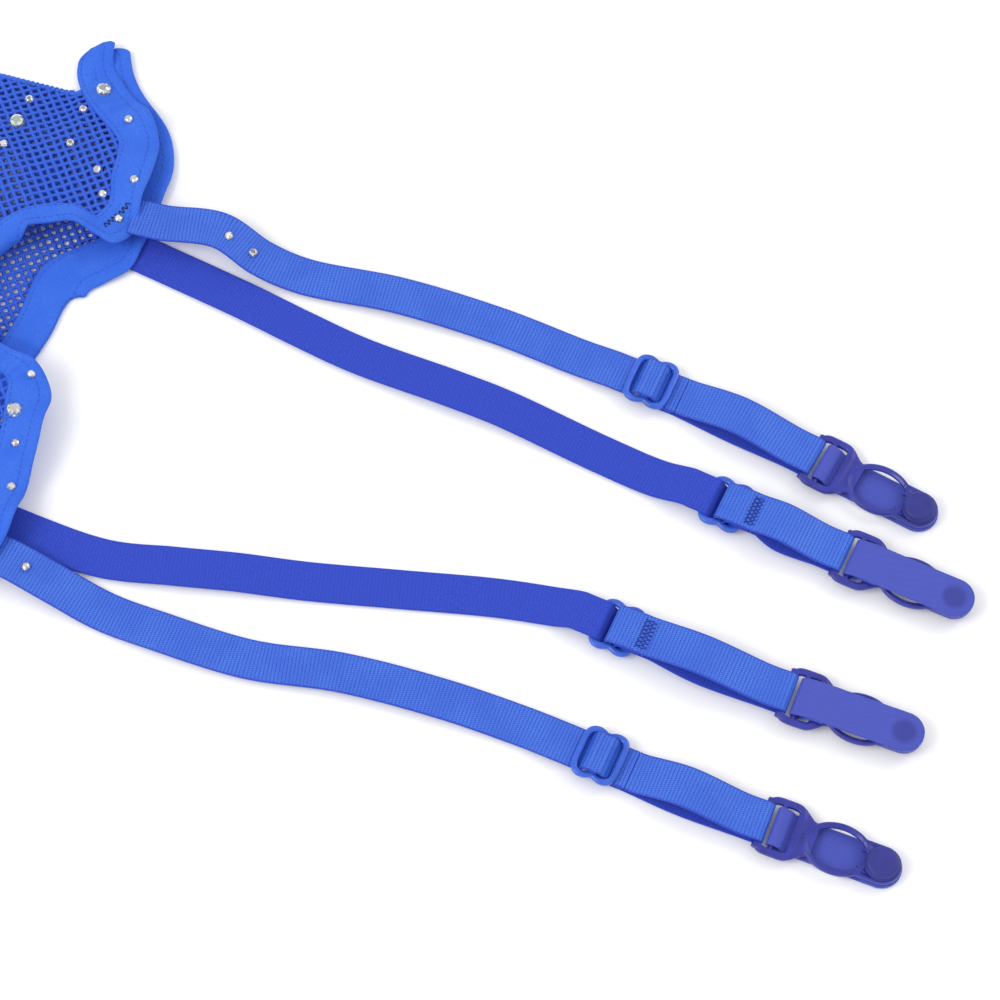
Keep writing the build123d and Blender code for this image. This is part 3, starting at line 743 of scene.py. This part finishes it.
def ribbon_end_material():
    """The ribbon bonded over the pad: its weave, with a soft darker disc where the stem is behind."""
    material = ribbon.copy()
    material.name = "ribbon_end"
    tree = material.node_tree
    shader = tree.nodes["Principled BSDF"]
    color = shader.inputs["Base Color"].links[0].from_socket
    place = node(tree, "UVMap", uv_map="cloth").outputs[0]
    off = node(tree, "VectorMath", {0: place, 1: (lock_s * 0.001, 0, 0)}, operation="DISTANCE")
    disc = remap(tree, math_node(tree, "MULTIPLY", off.outputs["Value"], 1000.0), 3.2, 5.2, 0.75, 0.0)
    tree.links.new(blend_colors(tree, disc, color, linear(58, 64, 160)), shader.inputs["Base Color"])
    return material


ribbon_end = ribbon_end_material()
side_of_button = np.r_[np.zeros(len(cap_mesh[1]), int), np.ones(len(pad_mesh[1]), int)]
button_rubber = moulded_material("button_rubber", linear(56, 60, 156), 0.5, 0.05)
for name, lay in strap_layouts.items():
    button = make_piece(f"{name}_button_moulding",
                        put(button_shape, lay["clip"], lay["flipped"], clip_stack), button_faces,
                        [button_rubber, ribbon_end], uv=button_shape[:, :2], which=side_of_button)
    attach(button, f"{name}_button")
    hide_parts(f"{name}_button")

# ---- Net panels ----
# Knotted stretch net in royal blue, a front arched over a flat back, both cut to the hem's arches
# and to the neckline. Strands cross at the knots 3 mm apart and run at 45 degrees to the hem.
net_pitch, knot_half, strand_half, net_half_thick = 3.0, 1.14, 0.74, 0.42
seam_z, top_y, back_net_z = 2.0, 205.0, 0.6
stations = np.array([(hem_y - 12, 124.0, 9.0), (hem_y + 44, 120.0, 12.0), (hem_y + 54, 104.0, 14.0),
                     (hem_y + 80, 101.0, 16.0), (0.0, 92.0, 18.0), (120.0, 104.0, 20.0),
                     (top_y + 3, 98.0, 16.0)])
# Hem edges as (outer x, y, inner x, y) past the hem, from the wearer's left seam to the right one.
front_rails = np.array([
    (132, 50, 122, 60), (121, 46, 112, 56), (112, 35, 101, 45), (104, 22, 93, 32),
    (96, 15.5, 89, 27.5), (86, 12, 83, 25.3), (72, 10, 74, 23.5), (59, 8, 65, 20),
    (49, 10.5, 57.5, 21.5), (49.5, 19, 57, 23.5), (51, 28, 57.5, 31.5), (46, 39, 50.5, 44.5), (31, 48,
                                                                                               34, 54.5),
    (12, 52, 11, 59), (-3, 43, -8.6, 47), (-7, 28, -13.8, 30), (-8, 15, -17, 21),
    (-15, 6, -23, 19), (-30, 2, -33, 15.8), (-55, -2.5, -56, 11.2), (-70, -4, -70, 9.5),
    (-86, -1, -84, 12.4), (-98, 5, -92, 17), (-106, 14, -96, 23), (-113, 28, -102, 34),
    (-121, 42, -110, 50), (-132, 48, -122, 58)], float)
back_rails = np.array([
    (132, 45, 122, 55), (121, 38, 112, 50), (112, 28, 101, 40), (104, 16, 94, 27),
    (97, 10.5, 90, 22.5), (88, 6.5, 85, 19.8), (76, 5, 75, 18.5), (56, 3.5, 60, 18),
    (45, 4.0, 53, 19), (37, 10, 48, 23), (26, 18.5, 34, 33), (10, 19, 11, 32.5),
    (-16, 21, -16, 34.6), (-38, 18.5, -50, 30), (-44, 9, -55, 20), (-54, 2, -60, 15.8),
    (-75, 1, -76, 14.5), (-90, 3, -86, 16), (-100, 9, -91, 19), (-107, 20, -95.5, 28),
    (-115, 32, -104, 41), (-121, 40, -112, 50), (-132, 46, -122, 56)], float)
# Top edges from the left underarm over the shoulder strap to the middle.
front_top = np.array([(104, 131), (97, 134), (86, 150), (80, 168), (76, 190), (74, top_y), (62, top_y + 2),
                      (50, top_y), (44, 190), (34, 176), (18, 167), (0, 164)], float)
back_top = np.array([(104, 131), (97, 134), (87, 150), (81, 170), (77, 190), (74, top_y), (62, top_y + 2),
                     (50, top_y), (43, 196), (32, 188), (16, 182), (0, 180)], float)


def front_height(x, y):
    """Arc of each station's half width and rise, joined along the torso, with soft slack folds:
    a sum of three slanted sines under 1 mm that fade out at the side seams."""
    half, rise = (np.interp(y, stations[:, 0], stations[:, k]) for k in (1, 2))
    radius = (half**2 + rise**2) / (2 * rise)
    arc = np.sqrt(np.maximum(radius**2 - x**2, 0)) - (radius - rise)
    middle = smooth_step((half - np.abs(x)) / 40)
    folds = (0.9 * np.sin(0.071 * x + 0.043 * y + 0.6) + 0.7 * np.sin(0.12 * x - 0.06 * y + 2.0)
             + 0.5 * np.sin(0.03 * x + 0.15 * y))
    return seam_z + np.maximum(arc, -0.6) + folds * middle


def back_height(x, y):
    """The back lies flat on the table, with slack folds of under half a millimetre."""
    return back_net_z + 0.25 + 0.25 * np.sin(0.09 * x - 0.05 * y) + 0 * x


def split_rails(rails, step=0.7):
    """Outer and inner edge of a band as smooth lines with the same number of points."""
    outer, s = smooth_line(np.column_stack([rails[:, :2], np.zeros(len(rails)), rails[:, 2:]]), step)
    return outer[:, :2], outer[:, 3:5], s


def mirrored_top(points):
    """Top edge from one underarm to the other, its right half mirrored from the left."""
    return np.vstack([points, (points * (-1, 1))[-2::-1]])


def panel_outline(rails, top):
    """Closed outline of a panel: under the hem band, right side, top edge and left side."""
    outer, inner, _ = split_rails(rails, 2.0)
    hem = 0.4 * outer + 0.6 * inner
    hem = hem[np.abs(hem[:, 0]) < 118]
    y = np.linspace(-98, 128, 40)
    side = np.column_stack([np.interp(y, stations[:, 0], stations[:, 1]) + 1.6, y])
    edge, _ = smooth_line(np.column_stack([mirrored_top(top), np.zeros(2 * len(top) - 1)]), 2.0)
    hem = hem + (0, hem_y)
    return np.vstack([hem, side * (-1, 1), edge[::-1, :2] - (0, 2.0), side[::-1]])


def inside(x, y, outline):
    """Even-odd count of the outline's edges to the right of each point."""
    ax, ay = outline.T
    bx, by = np.roll(outline, -1, axis=0).T
    odd = np.zeros(len(x), bool)
    for x0, y0, x1, y1 in zip(ax, ay, bx, by):
        if y0 != y1:
            crosses = (y0 > y) != (y1 > y)
            odd ^= crosses & (x < x0 + (y - y0) * (x1 - x0) / (y1 - y0))
    return odd


def net_mesh(outline, height, low_x, high_x, shift):
    """Lattice of closed strands. A knot has four side points half way between its strands, a top and
    a bottom; a strand has the same four halfway along, pulled in; a missing strand is capped."""
    diagonal = net_pitch / math.sqrt(2)
    n = 220
    i, j = np.meshgrid(np.arange(-n, n), np.arange(-n, n), indexing="ij")
    x, y = (i + j) * diagonal, (i - j) * diagonal
    y = y + shift
    near = (np.abs(x) < 126) & (y > -172) & (y < 212)
    keep = np.zeros(x.shape, bool)
    keep[near] = inside(x[near], y[near], outline)
    owned = keep & (x >= low_x) & (x < high_x)
    reached = owned.copy()
    reached[1:, :] |= owned[:-1, :]
    reached[:, 1:] |= owned[:, :-1]
    knots = reached & keep
    index = np.full(x.shape, -1)
    index[knots] = np.arange(knots.sum())
    kx, ky = x[knots], y[knots]
    wobble = 0.16 * np.column_stack([np.sin(0.9 * kx + 0.4 * ky), np.cos(0.7 * ky - 0.5 * kx)])
    kx, ky = kx + wobble[:, 0], ky + wobble[:, 1]
    # Side points at 0, 90, 180 and 270 degrees, then top and bottom.
    offsets = np.array([(1, 0, 0), (0, 1, 0), (-1, 0, 0), (0, -1, 0), (0, 0, 1), (0, 0, -1)], float)
    offsets[:4] *= knot_half
    offsets[4:] *= net_half_thick * 1.15
    centre = np.column_stack([kx, ky, height(kx, ky)])
    points = [(centre[:, None] + offsets[None]).reshape(-1, 3)]
    faces, count = [], 6 * len(kx)
    has = {}
    for (di, dj), sides in (((1, 0), (1, 0, 3, 2)), ((0, 1), (0, 3, 2, 1))):
        ends = np.full(index.shape, -1)
        ends[: n * 2 - di, : n * 2 - dj] = index[di:, dj:]
        made = owned & (index >= 0) & (ends >= 0)
        a, b = index[made], ends[made]
        has[(di, dj)] = (a, b, sides)
        pa, pb = centre[a], centre[b]
        middle = (pa + pb) / 2
        run = pb - pa
        run /= np.linalg.norm(run, axis=1)[:, None]
        left = np.column_stack([-run[:, 1], run[:, 0], 0 * run[:, 0]])
        ring = np.stack([middle + left * strand_half, middle + (0, 0, net_half_thick),
                         middle - left * strand_half, middle - (0, 0, net_half_thick)], axis=1)
        points.append(ring.reshape(-1, 3))
        m = count + 4 * np.arange(len(a))
        count += 4 * len(a)
        la, ra, rb, lb = (6 * base + k for base, k in zip((a, a, b, b), sides))
        ta, ba, tb, bb = 6 * a + 4, 6 * a + 5, 6 * b + 4, 6 * b + 5
        for quad in ((la, m, m + 1, ta), (ta, m + 1, m + 2, ra), (ra, m + 2, m + 3, ba), (ba, m + 3, m, la),
                     (m, lb, tb, m + 1), (m + 1, tb, rb, m + 2), (m + 2, rb, bb, m + 3),
                     (m + 3, bb, lb, m)):
            faces.append(np.column_stack(quad[::-1]))
    # A knot without a strand in one of its four directions is closed there by one quad.
    for (di, dj), (a, b, sides) in has.items():
        for present, (left_side, right_side) in ((a, sides[:2]), (b, (sides[2], sides[3]))):
            bare = np.setdiff1d(np.arange(len(kx)), present)
            quad = (6 * bare + left_side, 6 * bare + 4, 6 * bare + right_side, 6 * bare + 5)
            faces.append(np.column_stack(quad[::-1]))
    return np.vstack(points), np.vstack(faces).tolist()


def net_material():
    """Matt knitted strand: mid blue with darker and lighter grain, slow changes of tone, and fine fuzz."""
    material, tree, shader = new_material("net_strand", linear(54, 104, 236), 0.7, sheen=0.1)
    grain = use_group(tree, cloth_grain, {"Size": 0.35, "Mottle size": 30.0})
    color = blend_colors(tree, remap(tree, grain["Grain"], 0.35, 0.65), linear(38, 82, 220), linear(70,
                                                                                                    126, 252))
    color = blend_colors(tree, remap(tree, grain["Mottle"], 0.35, 0.7), color, linear(56, 106, 240))
    tree.links.new(color, shader.inputs["Base Color"])
    bump(tree, shader, grain["Grain"], 0.0001)
    return material


net_strand = net_material()
for side, rails, top, height in (("front", front_rails, front_top, front_height),
                                 ("back", back_rails, back_top, back_height)):
    outline = panel_outline(rails, top)
    for half, low_x, high_x in (("right", -200.0, 0.0), ("left", 0.0, 200.0)):
        points, faces = net_mesh(outline, height, low_x, high_x, 20.0 if side == "front" else 22.1)
        net = make_piece(f"{side}_net_{half}", points, faces, [net_strand])
        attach(net, "root")
        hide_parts(f"{side}_net_panel")

# ---- Hem bands ----
# Doubled stretch jersey 13.5 mm wide, sewn over the cut edge of each panel and pulled in at the
# straps, so that its free edge ruffles. In the arches it rolls over to the inside.
band_thick, roll_r = 1.6, 3.6
# The rolled edge turns by so many radians, and takes so many radii more than the flat width.
roll_turn, roll_extra = 2.62, 1.62


def jersey_material():
    """Brushed jersey: matt, with fine nap, faint lighter flecks and slow changes of tone."""
    material, tree, shader = new_material("brushed_jersey", linear(62, 120, 250), 0.8, sheen=0.1)
    grain = use_group(tree, cloth_grain, {"Size": 0.42, "Mottle size": 12.0})
    color = blend_colors(tree, remap(tree, grain["Grain"], 0.3, 0.7), linear(48, 104, 236), linear(78,
                                                                                                   138, 255))
    color = blend_colors(tree, remap(tree, grain["Mottle"], 0.3, 0.75), color, linear(54, 112, 244))
    color = blend_colors(tree, math_node(tree, "MULTIPLY", grain["Flecks"], 0.6), color, linear(140,
                                                                                                176, 250))
    tree.links.new(color, shader.inputs["Base Color"])
    bump(tree, shader, grain["Grain"], 0.00014)
    return material


jersey = jersey_material()


def window(s, start, end, soft=8.0):
    """1 between two lengths, 0 outside, eased over the soft length."""
    return smooth_step((s - start) / soft) * smooth_step((end - s) / soft)


def band_shape(rails, height, roll, ruffle, phase, pleats, sink=0.0):
    """Closed strip between two edges: an inner run that lies on the panel, then, where roll is 1, a
    turn of 150 degrees to the inside; elsewhere it runs on flat with a ruffle that grows outwards.
    Creases are ridges across the band, so that nothing sinks into the net."""
    outer, inner, s = split_rails(rails)
    across = outer - inner
    width = np.linalg.norm(across, axis=1)
    across /= width[:, None]
    roll = roll(outer)
    # Both ends of the band are rounded by narrowing it over their last 4 mm.
    ends = np.minimum(s, s[-1] - s)
    narrow = np.sqrt(1 - (1 - np.clip(ends / 4.0, 0.06, 1)) ** 2)[:, None]
    q = 0.5 + (np.linspace(0, 1, 13)[None, :] - 0.5) * narrow
    # The inner run is shorter by the roll's radius, so that the rolled edge stays on the outline.
    flat_run = width[:, None] - roll_r * roll[:, None]
    laid = q * (width[:, None] + roll[:, None] * roll_extra * roll_r)
    angle = np.clip((laid - flat_run) / roll_r, 0, roll_turn) * (roll[:, None] > 0.02)
    reach = np.where(angle > 0, flat_run + roll_r * np.sin(angle), laid)
    drop = np.where(angle > 0, roll_r * (1 - np.cos(angle)), 0)
    free = (1 - roll[:, None]) * q**1.6
    wave = ruffle * (0.7 + np.sin(s / 5.4 + phase) + 0.5 * np.sin(s / 3.1 + 2 * phase))
    lift = free * wave[:, None]
    for at, depth in pleats:
        crease = np.exp(-(((s - at) / 1.7) ** 2)) + 0.5 * np.exp(-(((s - at - 4.4) / 1.6) ** 2))
        lift = lift + depth * crease[:, None] * (0.25 + 0.75 * np.sin(math.pi * np.clip(q * 1.1, 0, 1)))
    xy = inner[:, None] + across[:, None] * reach[:, :, None]
    base_x, base_y = xy[:, :, 0], xy[:, :, 1] + hem_y
    z = height(base_x, base_y) + lift - drop - sink
    surface = np.stack([base_x, base_y, z], axis=2)
    return surface, s


def thick_strip(surface, thick):
    """Closed strip: the surface moved half its thickness along its normals to both sides, with both
    long edges rounded by a point between."""
    ds, dq = np.gradient(surface, axis=0), np.gradient(surface, axis=1)
    normal = np.cross(dq, ds)
    normal /= np.maximum(np.linalg.norm(normal, axis=2), 1e-9)[:, :, None]
    normal *= np.where(normal[:, :1, 2:] < 0, -1, 1)
    edge = 0.35 * thick
    out = dq / np.maximum(np.linalg.norm(dq, axis=2), 1e-9)[:, :, None]
    high, low = surface + normal * thick / 2, surface - normal * thick / 2
    inner_edge = surface[:, :1] - out[:, :1] * edge
    outer_edge = surface[:, -1:] + out[:, -1:] * edge
    rings = np.concatenate([inner_edge, low, outer_edge, high[:, ::-1]], axis=1)
    count = rings.shape[1]
    faces = skin(len(rings), count)
    return rings.reshape(-1, 3), faces


def stitch_row(line, up, length, radius, every):
    """Short raised stitches along a line: each a closed spindle of four rings of five points, its
    radius and height following the sine of the way along it."""
    run = np.r_[0, np.cumsum(np.linalg.norm(np.diff(line, axis=0), axis=1))]
    at = np.arange(every / 2, run[-1] - every / 2, every)
    t = np.array([-0.5, -0.2, 0.2, 0.5])
    s = at[:, None] + t[None, :] * length
    centre = np.stack([np.interp(s, run, line[:, k]) for k in range(3)], axis=2)
    lift = np.stack([np.interp(s, run, up[:, k]) for k in range(3)], axis=2)
    along = centre[:, -1] - centre[:, 0]
    along /= np.linalg.norm(along, axis=1)[:, None]
    side = np.cross(along, lift[:, 1])
    side /= np.linalg.norm(side, axis=1)[:, None]
    size = np.array([0.25, 1.0, 1.0, 0.25])
    turn = np.linspace(0, 2 * math.pi, 5, endpoint=False)
    rings = (centre[:, :, None] + lift[:, :, None] * (size * 0.5 * radius)[None, :, None, None]
             - side[:, None, None] * (np.cos(turn)[None, :] * (size * radius)[:, None])[None, :, :, None]
             + lift[:, :, None] * (np.sin(turn)[None, :] * (size * radius)[:, None])[None, :, :, None])
    one = skin(4, 5)
    faces = [[i + 20 * n for i in f] for n in range(len(at)) for f in one]
    return rings.reshape(-1, 3), faces


def row_on(surface, column, proud):
    """Line along a strip's surface at a column of its grid, raised by proud, and its upward normal."""
    ds, dq = np.gradient(surface, axis=0), np.gradient(surface, axis=1)
    normal = np.cross(dq, ds)[:, column]
    normal /= np.linalg.norm(normal, axis=1)[:, None]
    normal *= np.where(normal[:, 2:] < 0, -1, 1)
    return surface[:, column] + normal * proud, normal


def front_roll(outer):
    """1 in the front arch, where the outer edge is over 14 mm past the hem, easing to 0 outside."""
    return window(-outer[:, 0], -43, 4) * smooth_step((outer[:, 1] - 14) / 12)


def back_roll(outer):
    """1 in the back arch, where the outer edge is over 9 mm past the hem, easing to 0 outside."""
    return window(-outer[:, 0], -34, 36) * smooth_step((outer[:, 1] - 9) / 8)


bands = {
    "front": dict(rails=front_rails, height=front_height, roll=front_roll, ruffle=1.9, phase=0.4,
                  pleats=[(30, 1.6), (38, 1.1), (62, 0.9), (196, 1.3), (203, 1.5), (211, 1.0), (290, 1.1)]),
    "back": dict(rails=back_rails, height=back_height, roll=back_roll, ruffle=0.7, phase=2.0,
                 pleats=[(52, 0.4), (118, 0.4), (150, 0.5), (240, 0.4)]),
}
for side, band in bands.items():
    lift = 1.0 if side == "back" else 0.0
    surface, s = band_shape(**band, sink=-lift)
    surface[:, :, 2] = np.maximum(surface[:, :, 2], band_thick / 2 + 0.05)
    points, faces = thick_strip(surface, band_thick)
    strip = make_piece(f"{side}_hem_strip", points, faces, [jersey])
    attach(strip, "root")
    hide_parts(f"{side}_hem_band")
    for edge, column in (("inner", 1), ("outer", 9)):
        line, up = row_on(surface, column, band_thick / 2)
        points, faces = stitch_row(line, up, 1.9, 0.16, 2.4)
        row = make_piece(f"{side}_hem_{edge}_stitches", points, faces, [jersey_thread])
        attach(row, "root")

# ---- Bar tacks ----
# Dense zigzags of navy thread through the front band hold the ends of both front straps.
# Each follows the band's own height along a straight line.
front_surface, _ = band_shape(**bands["front"])
for side, (x0, y0), (x1, y1) in (("left", (54.0, 17.0), (66.5, 13.0)), ("right", (-84.0, 6.5), (-71.0, 4.0))):
    teeth = 14
    t = np.linspace(0, 1, teeth + 1)
    off = 0.9 * (np.arange(teeth + 1) % 2 * 2 - 1)
    length = math.hypot(x1 - x0, y1 - y0)
    x = x0 + t * (x1 - x0) - off * (y1 - y0) / length
    y = y0 + t * (y1 - y0) + off * (x1 - x0) / length + hem_y
    flat = front_surface.reshape(-1, 3)
    nearest = ((flat[None, :, 0] - x[:, None]) ** 2 + (flat[None, :, 1] - y[:, None]) ** 2).argmin(1)
    path, _ = smooth_line(np.column_stack([x, y, flat[nearest, 2] + band_thick / 2 + 0.05]), 0.3)
    points, faces = thread_tube(path, 0.24)
    tack = make_piece(f"{side}_bar_tack", points, faces, [navy_thread])
    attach(tack, "root")

# ---- Neckline bindings ----
# The same jersey folded over the neckline and armholes, 8 mm wide, with one row of topstitching.
# It lies flat on the net and waves by a third of a millimetre at its free edge.
binding_width, binding_thick = 8.0, 1.5
for side, top, height in (("front", front_top, front_height), ("back", back_top, back_height)):
    edge, s = smooth_line(np.column_stack([mirrored_top(top), np.zeros(2 * len(top) - 1)]), 0.9)
    along = np.gradient(edge[:, :2], axis=0)
    along /= np.linalg.norm(along, axis=1)[:, None]
    inward = np.column_stack([-along[:, 1], along[:, 0]])
    q = np.linspace(0, 1, 7)
    xy = edge[:, None, :2] + inward[:, None] * (q * binding_width)[None, :, None]
    lift = 1.0 if side == "back" else 0.0
    z = height(xy[:, :, 0], xy[:, :, 1]) + lift + 0.35 * np.sin(s / 4.0)[:, None] * (1 - q)[None, :]
    surface = np.concatenate([xy, np.maximum(z, binding_thick / 2)[:, :, None]], axis=2)[:, ::-1]
    points, faces = thick_strip(surface, binding_thick)
    binding = make_piece(f"{side}_neckline_strip", points, faces, [jersey])
    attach(binding, "root")
    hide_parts(f"{side}_neckline_binding")
    line, up = row_on(surface, 1, binding_thick / 2)
    points, faces = stitch_row(line, up, 1.9, 0.16, 2.4)
    row = make_piece(f"{side}_neckline_stitches", points, faces, [jersey_thread])
    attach(row, "root")

# ---- Side seams ----
# Overlocked edges that join front and back from the hem to the underarm: a soft rolled ridge
# wrapped in thread.
for side, sign in (("left", 1), ("right", -1)):
    y = np.linspace(-101, 119, 260)
    half = np.interp(y, stations[:, 0], stations[:, 1])
    core = np.column_stack([sign * (half + 0.9), y, 1.5 + 0.15 * np.sin(y / 6.0)])
    points, faces = thread_tube(core, 0.95, 14)
    ridge = make_piece(f"{side}_seam_ridge", points, faces, [jersey])
    turns = np.linspace(0, 1, 3200)
    angle = 2 * math.pi * 115 * turns
    y = -100 + 218 * turns
    half = np.interp(y, stations[:, 0], stations[:, 1])
    coil = np.column_stack([sign * (half + 0.9) + 1.05 * np.cos(angle), y, 1.5 + 1.0 * np.sin(angle)])
    points, faces = thread_tube(coil, 0.17, 5)
    wrap = make_piece(f"{side}_seam_overlock", points, faces, [jersey_thread])
    for piece in (ridge, wrap):
        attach(piece, "root")
    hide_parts(f"{side}_side_seam")

# ---- Shoulder straps ----
# Plain elastic 12 mm wide sewn to the front's and the back's top edge, folded flat at its crown,
# with ribs lower than those of the suspenders.
shoulder_x, shoulder_width, shoulder_crown = 62.0, 12.0, 267.0
for side, sign in (("left", 1), ("right", -1)):
    x = sign * shoulder_x
    front_z = float(front_height(np.array([x]), np.array([top_y]))[0]) + 1.6
    line = [(top_y - 7, front_z - 0.1), (top_y + 4, front_z + 0.2), (top_y + 30, front_z - 1.0),
            (top_y + 52, 9.0), (shoulder_crown - 2.6, 7.2), (shoulder_crown, 4.6),
            (shoulder_crown - 2.6, 2.0), (top_y + 40, 1.2), (top_y + 10, 1.4), (top_y - 6, 2.9)]
    heading = math.pi
    path, s = smooth_line([(x, y, z, heading) for y, z in line], rib_pitch / 6)
    strap = tape(f"{side}_shoulder_tape", path, s, shoulder_width, tape_thick, [satin, plush],
                 rib_height * 0.7)
    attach(strap, "root")
    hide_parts(f"{side}_shoulder_strap")

# ---- Rhinestones ----
# Flat-backed cut crystals, 3.4 and 6 mm across, glued to the net, the band and the front straps.
# Each facet carries a painted reflection: its own grey, pink or green tone, standing in for the glints and
# dark lines the facets would reflect.
small_stone, large_stone, scatter_pitch = 3.4, 6.0, 34.0
small_near_hem = [(94.9, 68.0), (70.4, 65.8), (81.5, 44.1), (74.9, 30.0), (66.3, 23.6), (99.2, 28.7),
                  (75.5, 15.0), (59.5, 14.0), (98.0, 47.0), (-12.5, 14.0), (-20.0, 26.0),
                  (-38.2, 8.1), (-53.8, 2.4), (-84.0, 12.0), (-100.0, 34.0), (-62.0, 26.0)]
large_near_hem = [(82.9, 66.8), (109.0, 44.0), (-27.0, 14.0), (-78.0, 40.0)]
on_straps = {"front_left": [(68.8, -26.0), (67.0, -36.5)], "front_right": [(-78.2, -14.5)]}


def gem_mesh(count=10):
    """Cut stone of diameter 1: a short girdle, a belt of facets turned half a step, and a table."""
    step = 2 * math.pi / count
    rings = []
    for radius, z, shift in ((0.47, 0.0, 0), (0.5, 0.06, 0), (0.41, 0.24, 0.5), (0.24, 0.36, 0)):
        a = (np.arange(count) + shift) * step
        rings.append(np.column_stack([radius * np.cos(a), radius * np.sin(a), np.full(count, z)]))
    faces = [list(range(count))[::-1], list(range(3 * count, 4 * count))]
    for k in range(count):
        n = (k + 1) % count
        before = (k - 1) % count
        faces += [[k, n, count + n, count + k], [count + k, count + n, 2 * count + k],
                  [2 * count + before, count + k, 2 * count + k],
                  [2 * count + before, 2 * count + k, 3 * count + k],
                  [2 * count + k, 3 * count + n, 3 * count + k]]
    return np.vstack(rings), faces


gem_points, gem_faces = gem_mesh()


def crystal_material():
    """Foil-backed crystal: mirror-bright facets coloured by the painted reflection tone stored on each."""
    material, tree, shader = new_material("crystal", (0.8, 0.82, 0.86, 1), 0.07, coat=1.0)
    shader.inputs["Metallic"].default_value = 0.75
    tone = node(tree, "Attribute", attribute_name="facet_reflection_tone").outputs["Color"]
    tree.links.new(tone, shader.inputs["Base Color"])
    return material


crystal = crystal_material()


def set_stones(name, spots, diameter, body, nodes_replaced):
    """Gems at (x, y, z), all one piece, each turned and leaning a little, with a painted reflection tone per
    facet.
    """
    spots = np.asarray(spots, float)
    turn = rng.uniform(0, 2 * math.pi, len(spots))
    lean = rng.normal(0, 0.06, (len(spots), 2))
    c, s = np.cos(turn)[:, None], np.sin(turn)[:, None]
    g = gem_points * diameter
    x = g[:, 0] * c - g[:, 1] * s
    y = g[:, 0] * s + g[:, 1] * c
    z = g[:, 2] + lean[:, :1] * x + lean[:, 1:] * y
    points = np.stack([x, y, z], axis=2) + spots[:, None]
    faces = [[i + n * len(gem_points) for i in f] for n in range(len(spots)) for f in gem_faces]
    stones = make_piece(name, points.reshape(-1, 3), faces, [crystal], smooth=False)
    # Painted reflections: each facet gets a random grey and tint in place of the glints it would reflect.
    grey = rng.uniform(0.12, 1.0, len(faces))[:, None] ** 0.7
    tints = np.array([(1, 1, 1), (1, 0.78, 0.86), (0.78, 1, 0.9), (0.8, 0.88, 1), (1, 0.95, 0.78), (1, 1, 1)])
    tone = grey * tints[rng.integers(0, len(tints), len(faces))]
    sizes = np.array([len(f) for f in faces])
    rgba = np.column_stack([np.repeat(tone, sizes, axis=0), np.ones(sizes.sum())])
    layer = stones.data.attributes.new("facet_reflection_tone", "FLOAT_COLOR", "CORNER")
    layer.data.foreach_set("color", rgba.astype(np.float32).ravel())
    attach(stones, body)
    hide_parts(nodes_replaced)


def stone_spots(near, pitch, shift):
    """Stones by the hem and a staggered scatter over the rest, each on the net or on the band."""
    spots = [(x, hem_y + y) for x, y in near]
    for row in range(12):
        y = hem_y + 92 + row * pitch * 0.55 + shift
        x0 = -2.5 * pitch + (row % 2) * pitch / 2 + shift
        spots += [(x0 + n * pitch, y) for n in range(6)]
    spots = np.array([(x, y) for x, y in spots if abs(x) < 84 and y < 150 or y < hem_y + 80])
    flat = front_surface[:, :10].reshape(-1, 3)
    gap = np.hypot(flat[None, :, 0] - spots[:, None, 0], flat[None, :, 1] - spots[:, None, 1])
    on_band = gap.min(1) < 1.2
    z = np.where(on_band, flat[gap.argmin(1), 2] + band_thick / 2,
                 front_height(spots[:, 0], spots[:, 1]) + net_half_thick)
    return np.column_stack([spots, z + 0.05])


set_stones("small_crystals", stone_spots(small_near_hem, scatter_pitch, 0.0), small_stone,
           "root", "small_rhinestones")
set_stones("large_crystals", stone_spots(large_near_hem, 2 * scatter_pitch, 9.0), large_stone,
           "root", "large_rhinestones")
for name, spots in on_straps.items():
    lay = strap_layouts[name]
    run = np.array([lay["bend"], *lay["route"]])[::-1]
    placed = [(x, hem_y + y, np.interp(y, run[:, 1], run[:, 2]) + tape_thick / 2 + 0.35) for x, y in spots]
    set_stones(f"{name}_strap_crystals", placed, small_stone, f"{name}_strap", f"{name}_strap_rhinestones")
